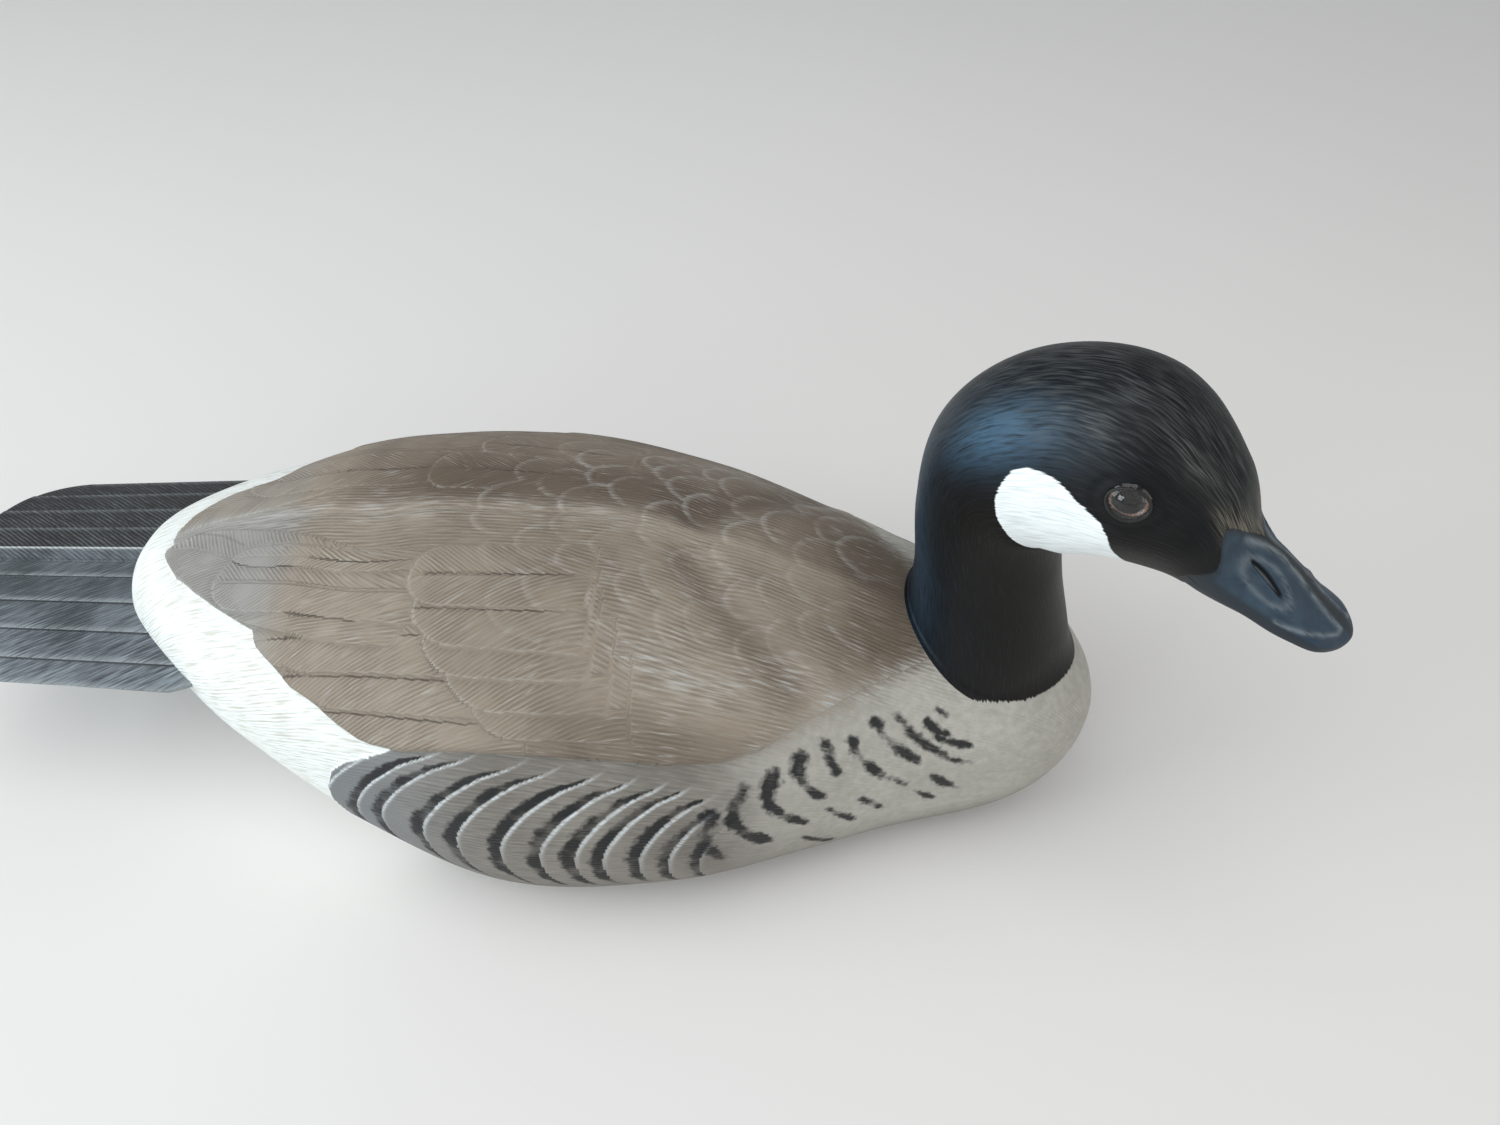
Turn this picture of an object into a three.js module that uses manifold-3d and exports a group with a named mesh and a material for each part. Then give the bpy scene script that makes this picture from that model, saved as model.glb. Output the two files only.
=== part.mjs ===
// A carved and painted wooden goose decoy with glass eyes. The bird rests on a flat underside with
// its wings folded, its tail level and its head turned to its right.
// Millimetres. +X is forward, +Y the bird's left, +Z up. The origin lies on the flat underside,
// below the middle of the back.
import * as THREE from 'three';
import { mergeVertices } from 'three/addons/utils/BufferGeometryUtils.js';
import Module from 'manifold-3d';

const wasm = await Module();
wasm.setup();

const GAP = 0.3;

// Body sections, tail to breast: along, top, bottom, half width, height of the widest line.
// A bottom below zero is planed off flat at zero.
const BODY_SECTIONS = [
  [-157, 81, 30, 23.5, 38],
  [-138, 81, 36, 29.5, 52.5],
  [-110, 86.5, 15, 46, 54],
  [-70, 97.5, -4, 62, 42],
  [-20, 95, -8, 76.5, 36],
  [30, 91, -8, 69.3, 35],
  [70, 85, -8, 52.7, 36],
  [105, 77, -6, 39.3, 38],
  [150, 75.5, 0, 40, 40],
];
const BREAST_ROUNDING_START = 92;
const BREAST_END = 152;
const BREAST_FULLNESS = 2.2;
const RUMP_ROUNDING_START = -116;
const RUMP_END = -157;
const RUMP_FULLNESS = 3.1;
const UPPER_ROUNDNESS = 0.85;
const LOWER_ROUNDNESS = 0.8;

// Neck and head sections from the neck's foot to the bill's tip, before the head is turned:
// station, along, height, upward pitch of the axis in degrees, then the reach from the axis to the
// nape or crown side, to the throat side, and to either flank.
const HEAD_SECTIONS = [
  [0, 113, 51, 90, 24.5, 31, 28],
  [1, 111.5, 73, 90, 21, 26.5, 24.5],
  [2, 109.5, 95, 92, 18.5, 22, 20.3],
  [3, 108.5, 114, 84, 20, 20.5, 19.3],
  [4, 112, 130.5, 58, 24, 21.8, 20.7],
  [5, 125.5, 142, 28, 28.4, 24, 23],
  [6, 143, 145.5, 4, 28.6, 19.5, 22.3],
  [7, 159.3, 142, -14, 16.5, 16, 16.4],
  [8, 168.2, 134.3, -18, 10.9, 9.6, 12.4],
  [9, 177, 130.3, -15, 10.5, 6.3, 10],
  [10, 185.5, 128.3, -14, 7.2, 5.9, 9.8],
  [11, 193, 126.5, -14, 4.4, 4.4, 8.9],
  [12, 199.5, 124.9, -14, 2.8, 3, 6.4],
];
const HEAD_TURN = -30;
const TURN_AXIS_X = 112;
const TURN_START = 1;
const TURN_END = 4;
const NECK_TOP = 3.5;
const BILL_BASE = 7.4;
const BILL_BOXED = 9;
const BILL_RIDGE_END = 10.3;
const BILL_ROUNDING_START = 10.9;
const BILL_TIP = 12;
const BILL_TIP_FULLNESS = 2.4;
const BILL_TIP_FLATTENING = 0.6;
const BILL_LOWER_SQUARENESS = 0.62;
const BILL_RIDGE_SHARPNESS = 1.35;
const MOUTH_ANGLE = 106;
const BILL_SETBACK = 2 * GAP;
const LOWER_BILL_INSET = 0.7;
const MOUTH_BLOCK_START = 7;
const MOUTH_BLOCK_SIZE = 30;
const MOUTH_BLOCK_OVERHANG = 2;

// The feathers' edge on the bill: angle from the crown line, then station.
const FEATHER_EDGE = [
  [0, 8.25],
  [20, 7.85],
  [42, 7.4],
  [52, 7.5],
  [62, 7.76],
  [74, 7.85],
  [90, 7.68],
  [106, 7.48],
  [122, 7.45],
  [150, 7.8],
  [180, 8.1],
];

// The folded wing's upper and lower edges: along, angle from the back's middle line.
const WING_UPPER_EDGE = [
  [-140, 0],
  [-46, 0],
  [-20, 4],
  [10, 10.5],
  [40, 18],
  [60, 26],
  [78, 34],
];
const WING_LOWER_EDGE = [
  [-140, 13],
  [-134, 26],
  [-114, 39],
  [-94, 46.5],
  [-76, 53.5],
  [-50, 58.5],
  [-15, 57],
  [20, 58.5],
  [45, 58],
  [60, 52.5],
  [78, 40],
];
const WING_TIP_X = -138;
const WING_SHOULDER_X = 77;
const WING_DEPTH = 7;
const WING_LIFT = 1.6;
const WING_LIFT_AT_BACK = 0.3;
const WING_LIFT_FADE_START = -20;
const WING_LIFT_FADE_END = 60;
const WING_AXIS_HEIGHT = 36;
const EDGE_CLEARANCE = 2.6;
const WING_CUTTER_HEIGHT = 9;

// The tail: a low roof of nine long feathers, the middle one on top. Its feathers' edges are given
// on one side of the middle, as parts of the half width.
const TAIL_ROOT_X = -113;
const TAIL_TIP_X = -219.5;
const TAIL_ROOT_Z = 63.5;
const TAIL_TIP_Z = 57.6;
const TAIL_ROOT_HALF_WIDTH = 42;
const TAIL_WIDEST_X = -127;
const TAIL_HALF_WIDTH = 46.8;
const TAIL_TIP_HALF_WIDTH = 42.5;
const TAIL_ROOF_DROP = 5.3;
const TAIL_TIP_ROUNDING = 24;
const TAIL_TIP_SQUARENESS = 4.5;
const TAIL_SWING = 0.05;
const TAIL_SWING_FROM_X = -168;
const TAIL_ROOT_THICKNESS = 6;
const TAIL_TIP_THICKNESS = 2.8;
const TAIL_SIDE_THINNING = 0.55;
const TAIL_SIDE_SHARPNESS = 4;
const TAIL_FEATHER_EDGES = [0.15, 0.37, 0.6, 0.82, 1];
const TAIL_EDGE_INSET = 0.97;
const TAIL_MIDDLE_RISE = 0.65;
const TAIL_FEATHER_STEP = 0.32;

const EYE_STATION = 6.18;
const EYE_ANGLE = 72;
const EYE_DOME_RADIUS = 7.5;
const EYE_RADIUS = 5.5;
const EYE_PROUD = 1.9;
const EYE_DEPTH = 3.5;
const SOCKET_CLEARANCE = 0.4;
// Half the patch of skin an eye faces out of, in stations and in radians.
const EYE_PATCH_ALONG = 0.3;
const EYE_PATCH_AROUND = 0.2;

// How finely the solids are cut into faces.
const BODY_FACES_AROUND = 40;
const BODY_FACES_ALONG = 38;
const BODY_END_PART = 0.972;
const WING_ROWS = 20;
const WING_COLUMNS = 8;
const TAIL_ROWS = 5;
const TAIL_COLUMNS_PER_FEATHER = 4;
const HEAD_FACES_AROUND = 28;
const NECK_FACES_ALONG = 11;
const HEAD_FACES_ALONG = 18;
const BILL_FACES_ALONG = 11;
const BILL_ROW_SPREAD = 0.9;
const BILL_END_STATION = BILL_TIP - 0.002;
const MOUTH_BLOCK_ROWS = 9;
const EYE_FACES_AROUND = 18;
const EYE_DOME_ROWS = 6;
const WELD = 1e-4;
const NORMAL_STEP_ALONG = 0.5;
const NORMAL_STEP_AROUND = 0.01;

const radians = (degrees) => (degrees * Math.PI) / 180;
const clamp01 = (value) => Math.min(1, Math.max(0, value));

function smoothStep(start, end, value) {
  const t = clamp01((value - start) / (end - start));
  return t * t * (3 - 2 * t);
}

// A smooth row of values through stations whose first number is the place.
function smoothRow(stations, at) {
  const last = stations.length - 1;
  let i = 0;
  while (i < last - 1 && at >= stations[i + 1][0]) i += 1;
  const slope = (j, k) => {
    const a = stations[Math.max(0, j - 1)];
    const b = stations[Math.min(last, j + 1)];
    return (b[k] - a[k]) / (b[0] - a[0]);
  };
  const span = stations[i + 1][0] - stations[i][0];
  const t = clamp01((at - stations[i][0]) / span);
  const startWeight = 2 * t ** 3 - 3 * t ** 2 + 1;
  const startSlope = (t ** 3 - 2 * t ** 2 + t) * span;
  const endSlope = (t ** 3 - t ** 2) * span;
  return stations[i].slice(1).map((value, n) => {
    const k = n + 1;
    const end = stations[i + 1][k];
    return startWeight * value + startSlope * slope(i, k)
      + (1 - startWeight) * end + endSlope * slope(i + 1, k);
  });
}

const signedPower = (value, power) => Math.sign(value) * Math.abs(value) ** power;

// A point on the body: its place along, and its angle from the left flank over the back.
function bodyPoint(x, angle) {
  const [top, bottom, halfWidth, widest] = smoothRow(BODY_SECTIONS, x);
  const front = clamp01((x - BREAST_ROUNDING_START) / (BREAST_END - BREAST_ROUNDING_START));
  const rear = clamp01((RUMP_ROUNDING_START - x) / (RUMP_ROUNDING_START - RUMP_END));
  const size = Math.sqrt(1 - front ** BREAST_FULLNESS) * Math.sqrt(1 - rear ** RUMP_FULLNESS);
  const across = Math.cos(angle);
  const up = Math.sin(angle);
  const isUpper = up >= 0;
  const roundness = isUpper ? UPPER_ROUNDNESS : LOWER_ROUNDNESS;
  const reach = isUpper ? top - widest : widest - bottom;
  return new THREE.Vector3(
    x,
    halfWidth * size * signedPower(across, roundness),
    Math.max(0, widest + reach * size * signedPower(up, roundness)),
  );
}

function bodyNormal(x, angle) {
  const along = bodyPoint(x + NORMAL_STEP_ALONG, angle)
    .sub(bodyPoint(x - NORMAL_STEP_ALONG, angle));
  const around = bodyPoint(x, angle + NORMAL_STEP_AROUND)
    .sub(bodyPoint(x, angle - NORMAL_STEP_AROUND));
  return around.cross(along).normalize();
}

// A point on the neck, head or bill: its station, and its angle from the crown line towards the
// bird's left. shift moves the section along the axis, and lowerInset narrows the lower bill.
function headPoint(station, angle, shift = 0, lowerInset = 0) {
  const [x, z, pitch, crownReach, throatReach, flankReach] = smoothRow(HEAD_SECTIONS, station);
  const tilt = radians(pitch);
  const tip = clamp01((station - BILL_ROUNDING_START) / (BILL_TIP - BILL_ROUNDING_START));
  const closing = Math.sqrt(1 - tip ** BILL_TIP_FULLNESS);
  const flattening = closing ** BILL_TIP_FLATTENING;
  const boxed = smoothStep(BILL_BASE, BILL_BOXED, station);
  const ridged = boxed * (1 - smoothStep(BILL_RIDGE_END, BILL_TIP, station));
  const isLower = Math.cos(angle) < 0;
  const power = isLower
    ? 1 + (BILL_LOWER_SQUARENESS - 1) * boxed
    : 1 + (BILL_RIDGE_SHARPNESS - 1) * ridged;
  const up = signedPower(Math.cos(angle), power) * (isLower ? throatReach : crownReach);
  const side = signedPower(Math.sin(angle), power) * (flankReach - lowerInset * boxed);
  const turn = radians(HEAD_TURN * smoothStep(TURN_START, TURN_END, station));
  const point = new THREE.Vector3(
    x + Math.cos(tilt) * shift - Math.sin(tilt) * up * flattening - TURN_AXIS_X,
    side * closing,
    z + Math.sin(tilt) * shift + Math.cos(tilt) * up * flattening,
  );
  point.applyAxisAngle(new THREE.Vector3(0, 0, 1), turn);
  point.x += TURN_AXIS_X;
  return point;
}

function featherEdge(angle) {
  const fromCrown = Math.abs(((angle * 180) / Math.PI + 180) % 360 - 180);
  return smoothRow(FEATHER_EDGE, fromCrown)[0];
}

function geometryFrom(points, faces) {
  const geometry = new THREE.BufferGeometry();
  const positions = new Float32Array(points.flatMap((point) => point.toArray()));
  geometry.setAttribute('position', new THREE.BufferAttribute(positions, 3));
  geometry.setIndex(faces);
  return outward(mergeVertices(geometry, WELD));
}

// Turns every face round where a closed mesh has them pointing inwards.
function outward(geometry) {
  const { array } = geometry.attributes.position;
  const faces = Array.from(geometry.index.array);
  const corner = (i) => new THREE.Vector3().fromArray(array, faces[i] * 3);
  let volume = 0;
  for (let i = 0; i < faces.length; i += 3) {
    volume += corner(i).dot(corner(i + 1).cross(corner(i + 2)));
  }
  if (volume < 0) faces.reverse();
  geometry.setIndex(faces);
  return geometry;
}

// A closed solid through rings of equal count, its two ends fanned to their centres.
function loft(rings) {
  const count = rings[0].length;
  const points = rings.flat();
  const faces = [];
  for (let row = 0; row < rings.length - 1; row += 1) {
    for (let i = 0; i < count; i += 1) {
      const next = (i + 1) % count;
      const a = row * count + i;
      const b = row * count + next;
      faces.push(a, b, b + count, a, b + count, a + count);
    }
  }
  for (const row of [0, rings.length - 1]) {
    const centre = new THREE.Vector3();
    rings[row].forEach((point) => centre.addScaledVector(point, 1 / count));
    const hub = points.push(centre) - 1;
    for (let i = 0; i < count; i += 1) {
      const a = row * count + i;
      const b = row * count + ((i + 1) % count);
      faces.push(...(row === 0 ? [hub, b, a] : [hub, a, b]));
    }
  }
  return geometryFrom(points, faces);
}

// A closed plate between two grids of points of the same size.
function plate(outer, inner) {
  const rows = outer.length;
  const columns = outer[0].length;
  const points = [...outer.flat(), ...inner.flat()];
  const under = rows * columns;
  const at = (row, column) => row * columns + column;
  const faces = [];
  const quad = (a, b, c, d) => faces.push(a, b, c, a, c, d);
  for (let row = 0; row < rows - 1; row += 1) {
    for (let column = 0; column < columns - 1; column += 1) {
      const corners = [at(row, column), at(row, column + 1), at(row + 1, column + 1),
        at(row + 1, column)];
      quad(...corners);
      quad(...corners.reverse().map((index) => index + under));
    }
  }
  for (let row = 0; row < rows - 1; row += 1) {
    const last = columns - 1;
    quad(at(row, 0), at(row + 1, 0), at(row + 1, 0) + under, at(row, 0) + under);
    quad(at(row + 1, last), at(row, last), at(row, last) + under, at(row + 1, last) + under);
  }
  for (let column = 0; column < columns - 1; column += 1) {
    const last = rows - 1;
    quad(at(0, column + 1), at(0, column), at(0, column) + under, at(0, column + 1) + under);
    quad(at(last, column), at(last, column + 1), at(last, column + 1) + under,
      at(last, column) + under);
  }
  return geometryFrom(points, faces);
}

function bare(geometry) {
  const copy = geometry.clone();
  copy.deleteAttribute('normal');
  copy.deleteAttribute('uv');
  return copy.index ? copy : mergeVertices(copy, WELD);
}

function solidOf(geometry) {
  const { position } = geometry.attributes;
  return new wasm.Manifold(new wasm.Mesh({
    numProp: 3,
    vertProperties: new Float32Array(position.array),
    triVerts: new Uint32Array(geometry.index.array),
  }));
}

function geometryOf(solid) {
  const mesh = solid.getMesh();
  const geometry = new THREE.BufferGeometry();
  geometry.setAttribute('position', new THREE.BufferAttribute(mesh.vertProperties.slice(), 3));
  geometry.setIndex(Array.from(mesh.triVerts));
  return geometry;
}

// The same closed mesh with its skin moved out by a distance.
function grown(geometry, distance) {
  const copy = geometry.clone();
  copy.computeVertexNormals();
  const { position, normal } = copy.attributes;
  for (let i = 0; i < position.count; i += 1) {
    position.setXYZ(
      i,
      position.getX(i) + normal.getX(i) * distance,
      position.getY(i) + normal.getY(i) * distance,
      position.getZ(i) + normal.getZ(i) * distance,
    );
  }
  copy.deleteAttribute('normal');
  return copy;
}

function cut(geometry, ...cutters) {
  let solid = solidOf(geometry);
  for (const cutter of cutters) solid = solid.subtract(solidOf(cutter));
  return geometryOf(solid);
}

const spaced = (count, start, end) => (
  Array.from({ length: count }, (_, i) => start + ((end - start) * i) / (count - 1))
);

// A place between two ends, packed closer towards them. part runs from -1 to 1.
const endwise = (start, end, part) => (
  (start + end) / 2 + ((end - start) / 2) * Math.sin((part * Math.PI) / 2)
);

function bodySolid() {
  return loft(spaced(BODY_FACES_ALONG, -BODY_END_PART, BODY_END_PART).map((part) => (
    Array.from({ length: BODY_FACES_AROUND }, (_, i) => (
      bodyPoint(
        endwise(RUMP_END, BREAST_END, part),
        ((i + 0.5) / BODY_FACES_AROUND) * 2 * Math.PI,
      )
    ))
  )));
}

// One folded wing as a curved plate let into the body. clearance grows it all round.
function wingPlate(side, clearance = 0, extraHeight = 0) {
  const rows = spaced(WING_ROWS, -1, 1).map((part) => {
    const atEnd = Math.abs(part) === 1 ? part * clearance : 0;
    return endwise(WING_TIP_X, WING_SHOULDER_X, part) + atEnd;
  });
  const grid = (isOuter) => rows.map((x) => {
    const radius = bodyPoint(x, Math.PI / 2).z - WING_AXIS_HEIGHT;
    const edge = clearance * EDGE_CLEARANCE;
    const upper = radians(Math.max(0, smoothRow(WING_UPPER_EDGE, x)[0]))
      + (GAP / 2 - edge) / radius;
    const lower = radians(smoothRow(WING_LOWER_EDGE, x)[0]) + edge / radius;
    const fade = 1 - smoothStep(WING_LIFT_FADE_START, WING_LIFT_FADE_END, x);
    return spaced(WING_COLUMNS, upper, lower).map((fromBack, column) => {
      const angle = Math.PI / 2 - side * fromBack;
      const lowered = smoothStep(0, WING_COLUMNS - 1, column);
      const across = WING_LIFT_AT_BACK + (1 - WING_LIFT_AT_BACK) * lowered;
      const height = isOuter
        ? WING_LIFT * fade * across + extraHeight
        : -WING_DEPTH - clearance;
      return bodyPoint(x, angle).addScaledVector(bodyNormal(x, angle), height);
    });
  });
  return plate(grid(true), grid(false));
}

function tailHalfWidth(x) {
  const rootPart = smoothStep(TAIL_ROOT_X, TAIL_WIDEST_X, x);
  const rearPart = clamp01((x - TAIL_WIDEST_X) / (TAIL_TIP_X - TAIL_WIDEST_X));
  const narrowing = (TAIL_TIP_HALF_WIDTH - TAIL_HALF_WIDTH) * rearPart;
  return TAIL_ROOT_HALF_WIDTH + (TAIL_HALF_WIDTH - TAIL_ROOT_HALF_WIDTH) * rootPart + narrowing;
}

// Places across the tail from its right edge to its left, each with its feather's rank outwards.
function tailColumns() {
  const outermost = TAIL_FEATHER_EDGES.length - 1;
  return spaced(2 * outermost + 1, -outermost, outermost).flatMap((feather) => {
    const rank = Math.abs(feather);
    const outer = TAIL_FEATHER_EDGES[rank];
    const inner = rank ? TAIL_FEATHER_EDGES[rank - 1] : -outer;
    const [start, end] = feather < 0 ? [-outer, -inner] : [inner, outer];
    const middle = (start + end) / 2;
    const reach = ((end - start) / 2) * TAIL_EDGE_INSET;
    return spaced(TAIL_COLUMNS_PER_FEATHER, middle - reach, middle + reach)
      .map((part) => ({ part, rank }));
  });
}

// The tail's feathers lie side by side, each lower than its neighbour nearer the middle.
function tailPlate() {
  const slope = (TAIL_TIP_Z - TAIL_ROOT_Z) / (TAIL_TIP_X - TAIL_ROOT_X);
  const columns = tailColumns();
  const grid = (isTop) => spaced(TAIL_ROWS, 0, 1).map((rearward) => (
    columns.map(({ part, rank }) => {
      const corner = Math.sqrt(1 - Math.abs(part) ** TAIL_TIP_SQUARENESS);
      const tip = TAIL_TIP_X + TAIL_TIP_ROUNDING * (1 - corner);
      const x = TAIL_ROOT_X + (tip - TAIL_ROOT_X) * rearward;
      const y = part * tailHalfWidth(x) + TAIL_SWING * (x - TAIL_SWING_FROM_X);
      const roof = TAIL_ROOT_Z + slope * (x - TAIL_ROOT_X) - TAIL_ROOF_DROP * part ** 2;
      const rise = TAIL_MIDDLE_RISE - TAIL_FEATHER_STEP * rank;
      const thinning = 1 - TAIL_SIDE_THINNING * Math.abs(part) ** TAIL_SIDE_SHARPNESS;
      const thickness = TAIL_ROOT_THICKNESS
        + (TAIL_TIP_THICKNESS - TAIL_ROOT_THICKNESS) * rearward;
      return new THREE.Vector3(x, y, isTop ? roof + rise : roof - thickness * thinning);
    })
  ));
  return plate(grid(true), grid(false));
}

// A solid along the head's axis, its rings placed by part of its length and angle.
function headLoft(rings, stationAt, shiftAt, lowerInset = 0) {
  return loft(spaced(rings, 0, 1).map((part) => (
    Array.from({ length: HEAD_FACES_AROUND }, (_, i) => {
      const angle = (i / HEAD_FACES_AROUND) * 2 * Math.PI;
      return headPoint(stationAt(part, angle), angle, shiftAt(part), lowerInset);
    })
  )));
}

// Neck and head meet on one section, each half a gap away from it.
const neckSolid = () => headLoft(
  NECK_FACES_ALONG,
  (part) => NECK_TOP * part,
  (part) => (part === 1 ? -GAP / 2 : 0),
);
const headSolid = () => headLoft(
  HEAD_FACES_ALONG,
  (part, angle) => NECK_TOP + (featherEdge(angle) - NECK_TOP) * part,
  (part) => (part === 0 ? GAP / 2 : 0),
);

// The whole bill, set off from the head along its axis.
const billSolid = (lowerInset) => headLoft(
  BILL_FACES_ALONG,
  (part, angle) => {
    const base = featherEdge(angle);
    const forward = Math.sin((part * Math.PI) / 2) ** BILL_ROW_SPREAD;
    return base + (BILL_END_STATION - base) * forward;
  },
  (part) => (part === 0 ? BILL_SETBACK : 0),
  lowerInset,
);

// A block above (+1) or below (-1) the mouth line, half a gap over it.
function mouthBlock(side) {
  const tipward = headPoint(BILL_TIP, 0).sub(headPoint(BILL_TIP - 1, 0)).normalize();
  const grid = (height) => spaced(MOUTH_BLOCK_ROWS, MOUTH_BLOCK_START, BILL_TIP).map((station) => {
    const left = headPoint(station, radians(MOUTH_ANGLE));
    const right = headPoint(station, -radians(MOUTH_ANGLE));
    return [[left, right], [right, left]].map(([near, far]) => {
      const beyond = near.clone().lerp(far, -MOUTH_BLOCK_OVERHANG);
      beyond.z += side * height;
      return station === BILL_TIP ? beyond.addScaledVector(tipward, MOUTH_BLOCK_SIZE) : beyond;
    });
  });
  return plate(grid(-GAP / 2), grid(MOUTH_BLOCK_SIZE));
}

// A glass eye: a shallow dome on a short round shank, its axis along +Z and its rim at zero.
function eyeGeometry(clearance = 0) {
  const rim = EYE_RADIUS + clearance;
  const dome = EYE_DOME_RADIUS + clearance;
  const sweep = Math.asin(rim / dome);
  const domeHeight = dome * Math.cos(sweep);
  const profile = [new THREE.Vector2(0, -EYE_DEPTH - clearance)];
  profile.push(new THREE.Vector2(rim, -EYE_DEPTH - clearance));
  spaced(EYE_DOME_ROWS, sweep, 0).forEach((angle) => {
    profile.push(new THREE.Vector2(dome * Math.sin(angle), dome * Math.cos(angle) - domeHeight));
  });
  profile[profile.length - 1].x = 0;
  const lathed = new THREE.LatheGeometry(profile.reverse(), EYE_FACES_AROUND);
  const geometry = mergeVertices(bare(lathed), WELD);
  geometry.rotateX(Math.PI / 2);
  return outward(withoutSlivers(geometry));
}

// Drops triangles that merging has folded to a line.
function withoutSlivers(geometry) {
  const kept = [];
  const faces = geometry.index.array;
  for (let i = 0; i < faces.length; i += 3) {
    const [a, b, c] = [faces[i], faces[i + 1], faces[i + 2]];
    if (a !== b && b !== c && c !== a) kept.push(a, b, c);
  }
  geometry.setIndex(kept);
  return geometry;
}

// Where an eye sits: on the head's skin, facing straight out of it.
function eyePlace(side) {
  const angle = side * radians(EYE_ANGLE);
  const centre = headPoint(EYE_STATION, angle);
  const forward = headPoint(EYE_STATION + EYE_PATCH_ALONG, angle)
    .sub(headPoint(EYE_STATION - EYE_PATCH_ALONG, angle));
  const around = headPoint(EYE_STATION, angle + EYE_PATCH_AROUND)
    .sub(headPoint(EYE_STATION, angle - EYE_PATCH_AROUND));
  const outwards = forward.cross(around).normalize();
  const inside = headPoint(EYE_STATION, 0).add(headPoint(EYE_STATION, Math.PI)).multiplyScalar(0.5);
  if (outwards.dot(centre.clone().sub(inside)) < 0) outwards.negate();
  const domeHeight = EYE_DOME_RADIUS - Math.sqrt(EYE_DOME_RADIUS ** 2 - EYE_RADIUS ** 2);
  centre.addScaledVector(outwards, EYE_PROUD - domeHeight);
  const turn = new THREE.Quaternion().setFromUnitVectors(new THREE.Vector3(0, 0, 1), outwards);
  return { centre, turn };
}

function eyeSocket(side) {
  const { centre, turn } = eyePlace(side);
  const place = new THREE.Matrix4().compose(centre, turn, new THREE.Vector3(1, 1, 1));
  return eyeGeometry(SOCKET_CLEARANCE).applyMatrix4(place);
}

const paint = (color, roughness = 0.62) => (
  new THREE.MeshStandardMaterial({ color, roughness, metalness: 0 })
);
const WING_BROWN = paint(0x7d7263);
const BREAST_BROWN = paint(0x8a867b);
const NECK_BLACK = paint(0x23272a, 0.5);
const TAIL_BLACK = paint(0x3c4144);
const BILL_SLATE = paint(0x3b4a54, 0.55);
const EYE_BROWN = paint(0x3a2419, 0.05);

const goose = new THREE.Group();

function addPart(name, geometry, material) {
  const mesh = new THREE.Mesh(geometry, material);
  mesh.name = name;
  goose.add(mesh);
  return mesh;
}

const body = bodySolid();
const bodyCutter = grown(body, GAP);
const neck = neckSolid();
const pockets = [1, -1].map((side) => wingPlate(side, GAP, WING_CUTTER_HEIGHT));

addPart('trunk', cut(body, ...pockets), BREAST_BROWN);
addPart('wing_left', cut(wingPlate(1)), WING_BROWN);
addPart('wing_right', cut(wingPlate(-1)), WING_BROWN);
addPart('tail', cut(tailPlate(), bodyCutter), TAIL_BLACK);
addPart('neck', cut(neck, bodyCutter), NECK_BLACK);
addPart('head', cut(headSolid(), eyeSocket(1), eyeSocket(-1)), NECK_BLACK);
addPart('bill_upper', cut(billSolid(0), mouthBlock(-1)), BILL_SLATE);
addPart('bill_lower', cut(billSolid(LOWER_BILL_INSET), mouthBlock(1)), BILL_SLATE);
for (const [name, side] of [['eye_left', 1], ['eye_right', -1]]) {
  const { centre, turn } = eyePlace(side);
  const eye = addPart(name, eyeGeometry(), EYE_BROWN);
  eye.position.copy(centre);
  eye.quaternion.copy(turn);
}

export default goose;
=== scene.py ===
# A carved and painted wooden goose decoy with glass eyes, on a plain pale studio floor.
# Shapes are worked out in millimetres, with +X forward, +Y the bird's left and +Z up, and the
# meshes are made from them in metres.
import math
import bpy
import numpy as np
from mathutils import Matrix, Vector


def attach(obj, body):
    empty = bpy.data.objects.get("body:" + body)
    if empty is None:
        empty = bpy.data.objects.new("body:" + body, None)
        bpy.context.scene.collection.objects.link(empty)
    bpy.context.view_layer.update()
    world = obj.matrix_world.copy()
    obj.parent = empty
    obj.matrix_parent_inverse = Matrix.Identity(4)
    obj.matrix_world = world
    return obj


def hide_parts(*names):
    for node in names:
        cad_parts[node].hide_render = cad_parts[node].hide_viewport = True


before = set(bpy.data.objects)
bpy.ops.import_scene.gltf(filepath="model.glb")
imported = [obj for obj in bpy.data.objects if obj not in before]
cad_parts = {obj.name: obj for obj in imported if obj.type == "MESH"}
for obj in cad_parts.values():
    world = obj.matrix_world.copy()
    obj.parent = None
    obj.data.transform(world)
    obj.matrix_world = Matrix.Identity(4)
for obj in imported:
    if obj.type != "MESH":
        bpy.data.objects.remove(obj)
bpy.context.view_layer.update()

MM = 0.001
BAKE_MAP = "OFBake"

# Body sections, tail to breast: along, top, bottom, half width, height of the widest line.
BODY_SECTIONS = (
    (-157, 81, 30, 23.5, 38),
    (-138, 81, 36, 29.5, 52.5),
    (-110, 86.5, 15, 46, 54),
    (-70, 97.5, -4, 62, 42),
    (-20, 95, -8, 76.5, 36),
    (30, 91, -8, 69.3, 35),
    (70, 85, -8, 52.7, 36),
    (105, 77, -6, 39.3, 38),
    (150, 75.5, 0, 40, 40),
)
BREAST_ROUNDING_START = 92
BREAST_END = 152
BREAST_FULLNESS = 2.2
RUMP_ROUNDING_START = -116
RUMP_END = -157
RUMP_FULLNESS = 3.1
UPPER_ROUNDNESS = 0.85
LOWER_ROUNDNESS = 0.8
BODY_INSIDE = (0, 0, 40)
BODY_ROWS = 630
BACK_COLUMNS = 150
FLANK_COLUMNS = 140
BELLY_COLUMNS = 16
# Points by which lengths over the body are measured, along it and round half of it.
FINE_ALONG = 6000
FINE_ROUND = 1400

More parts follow.
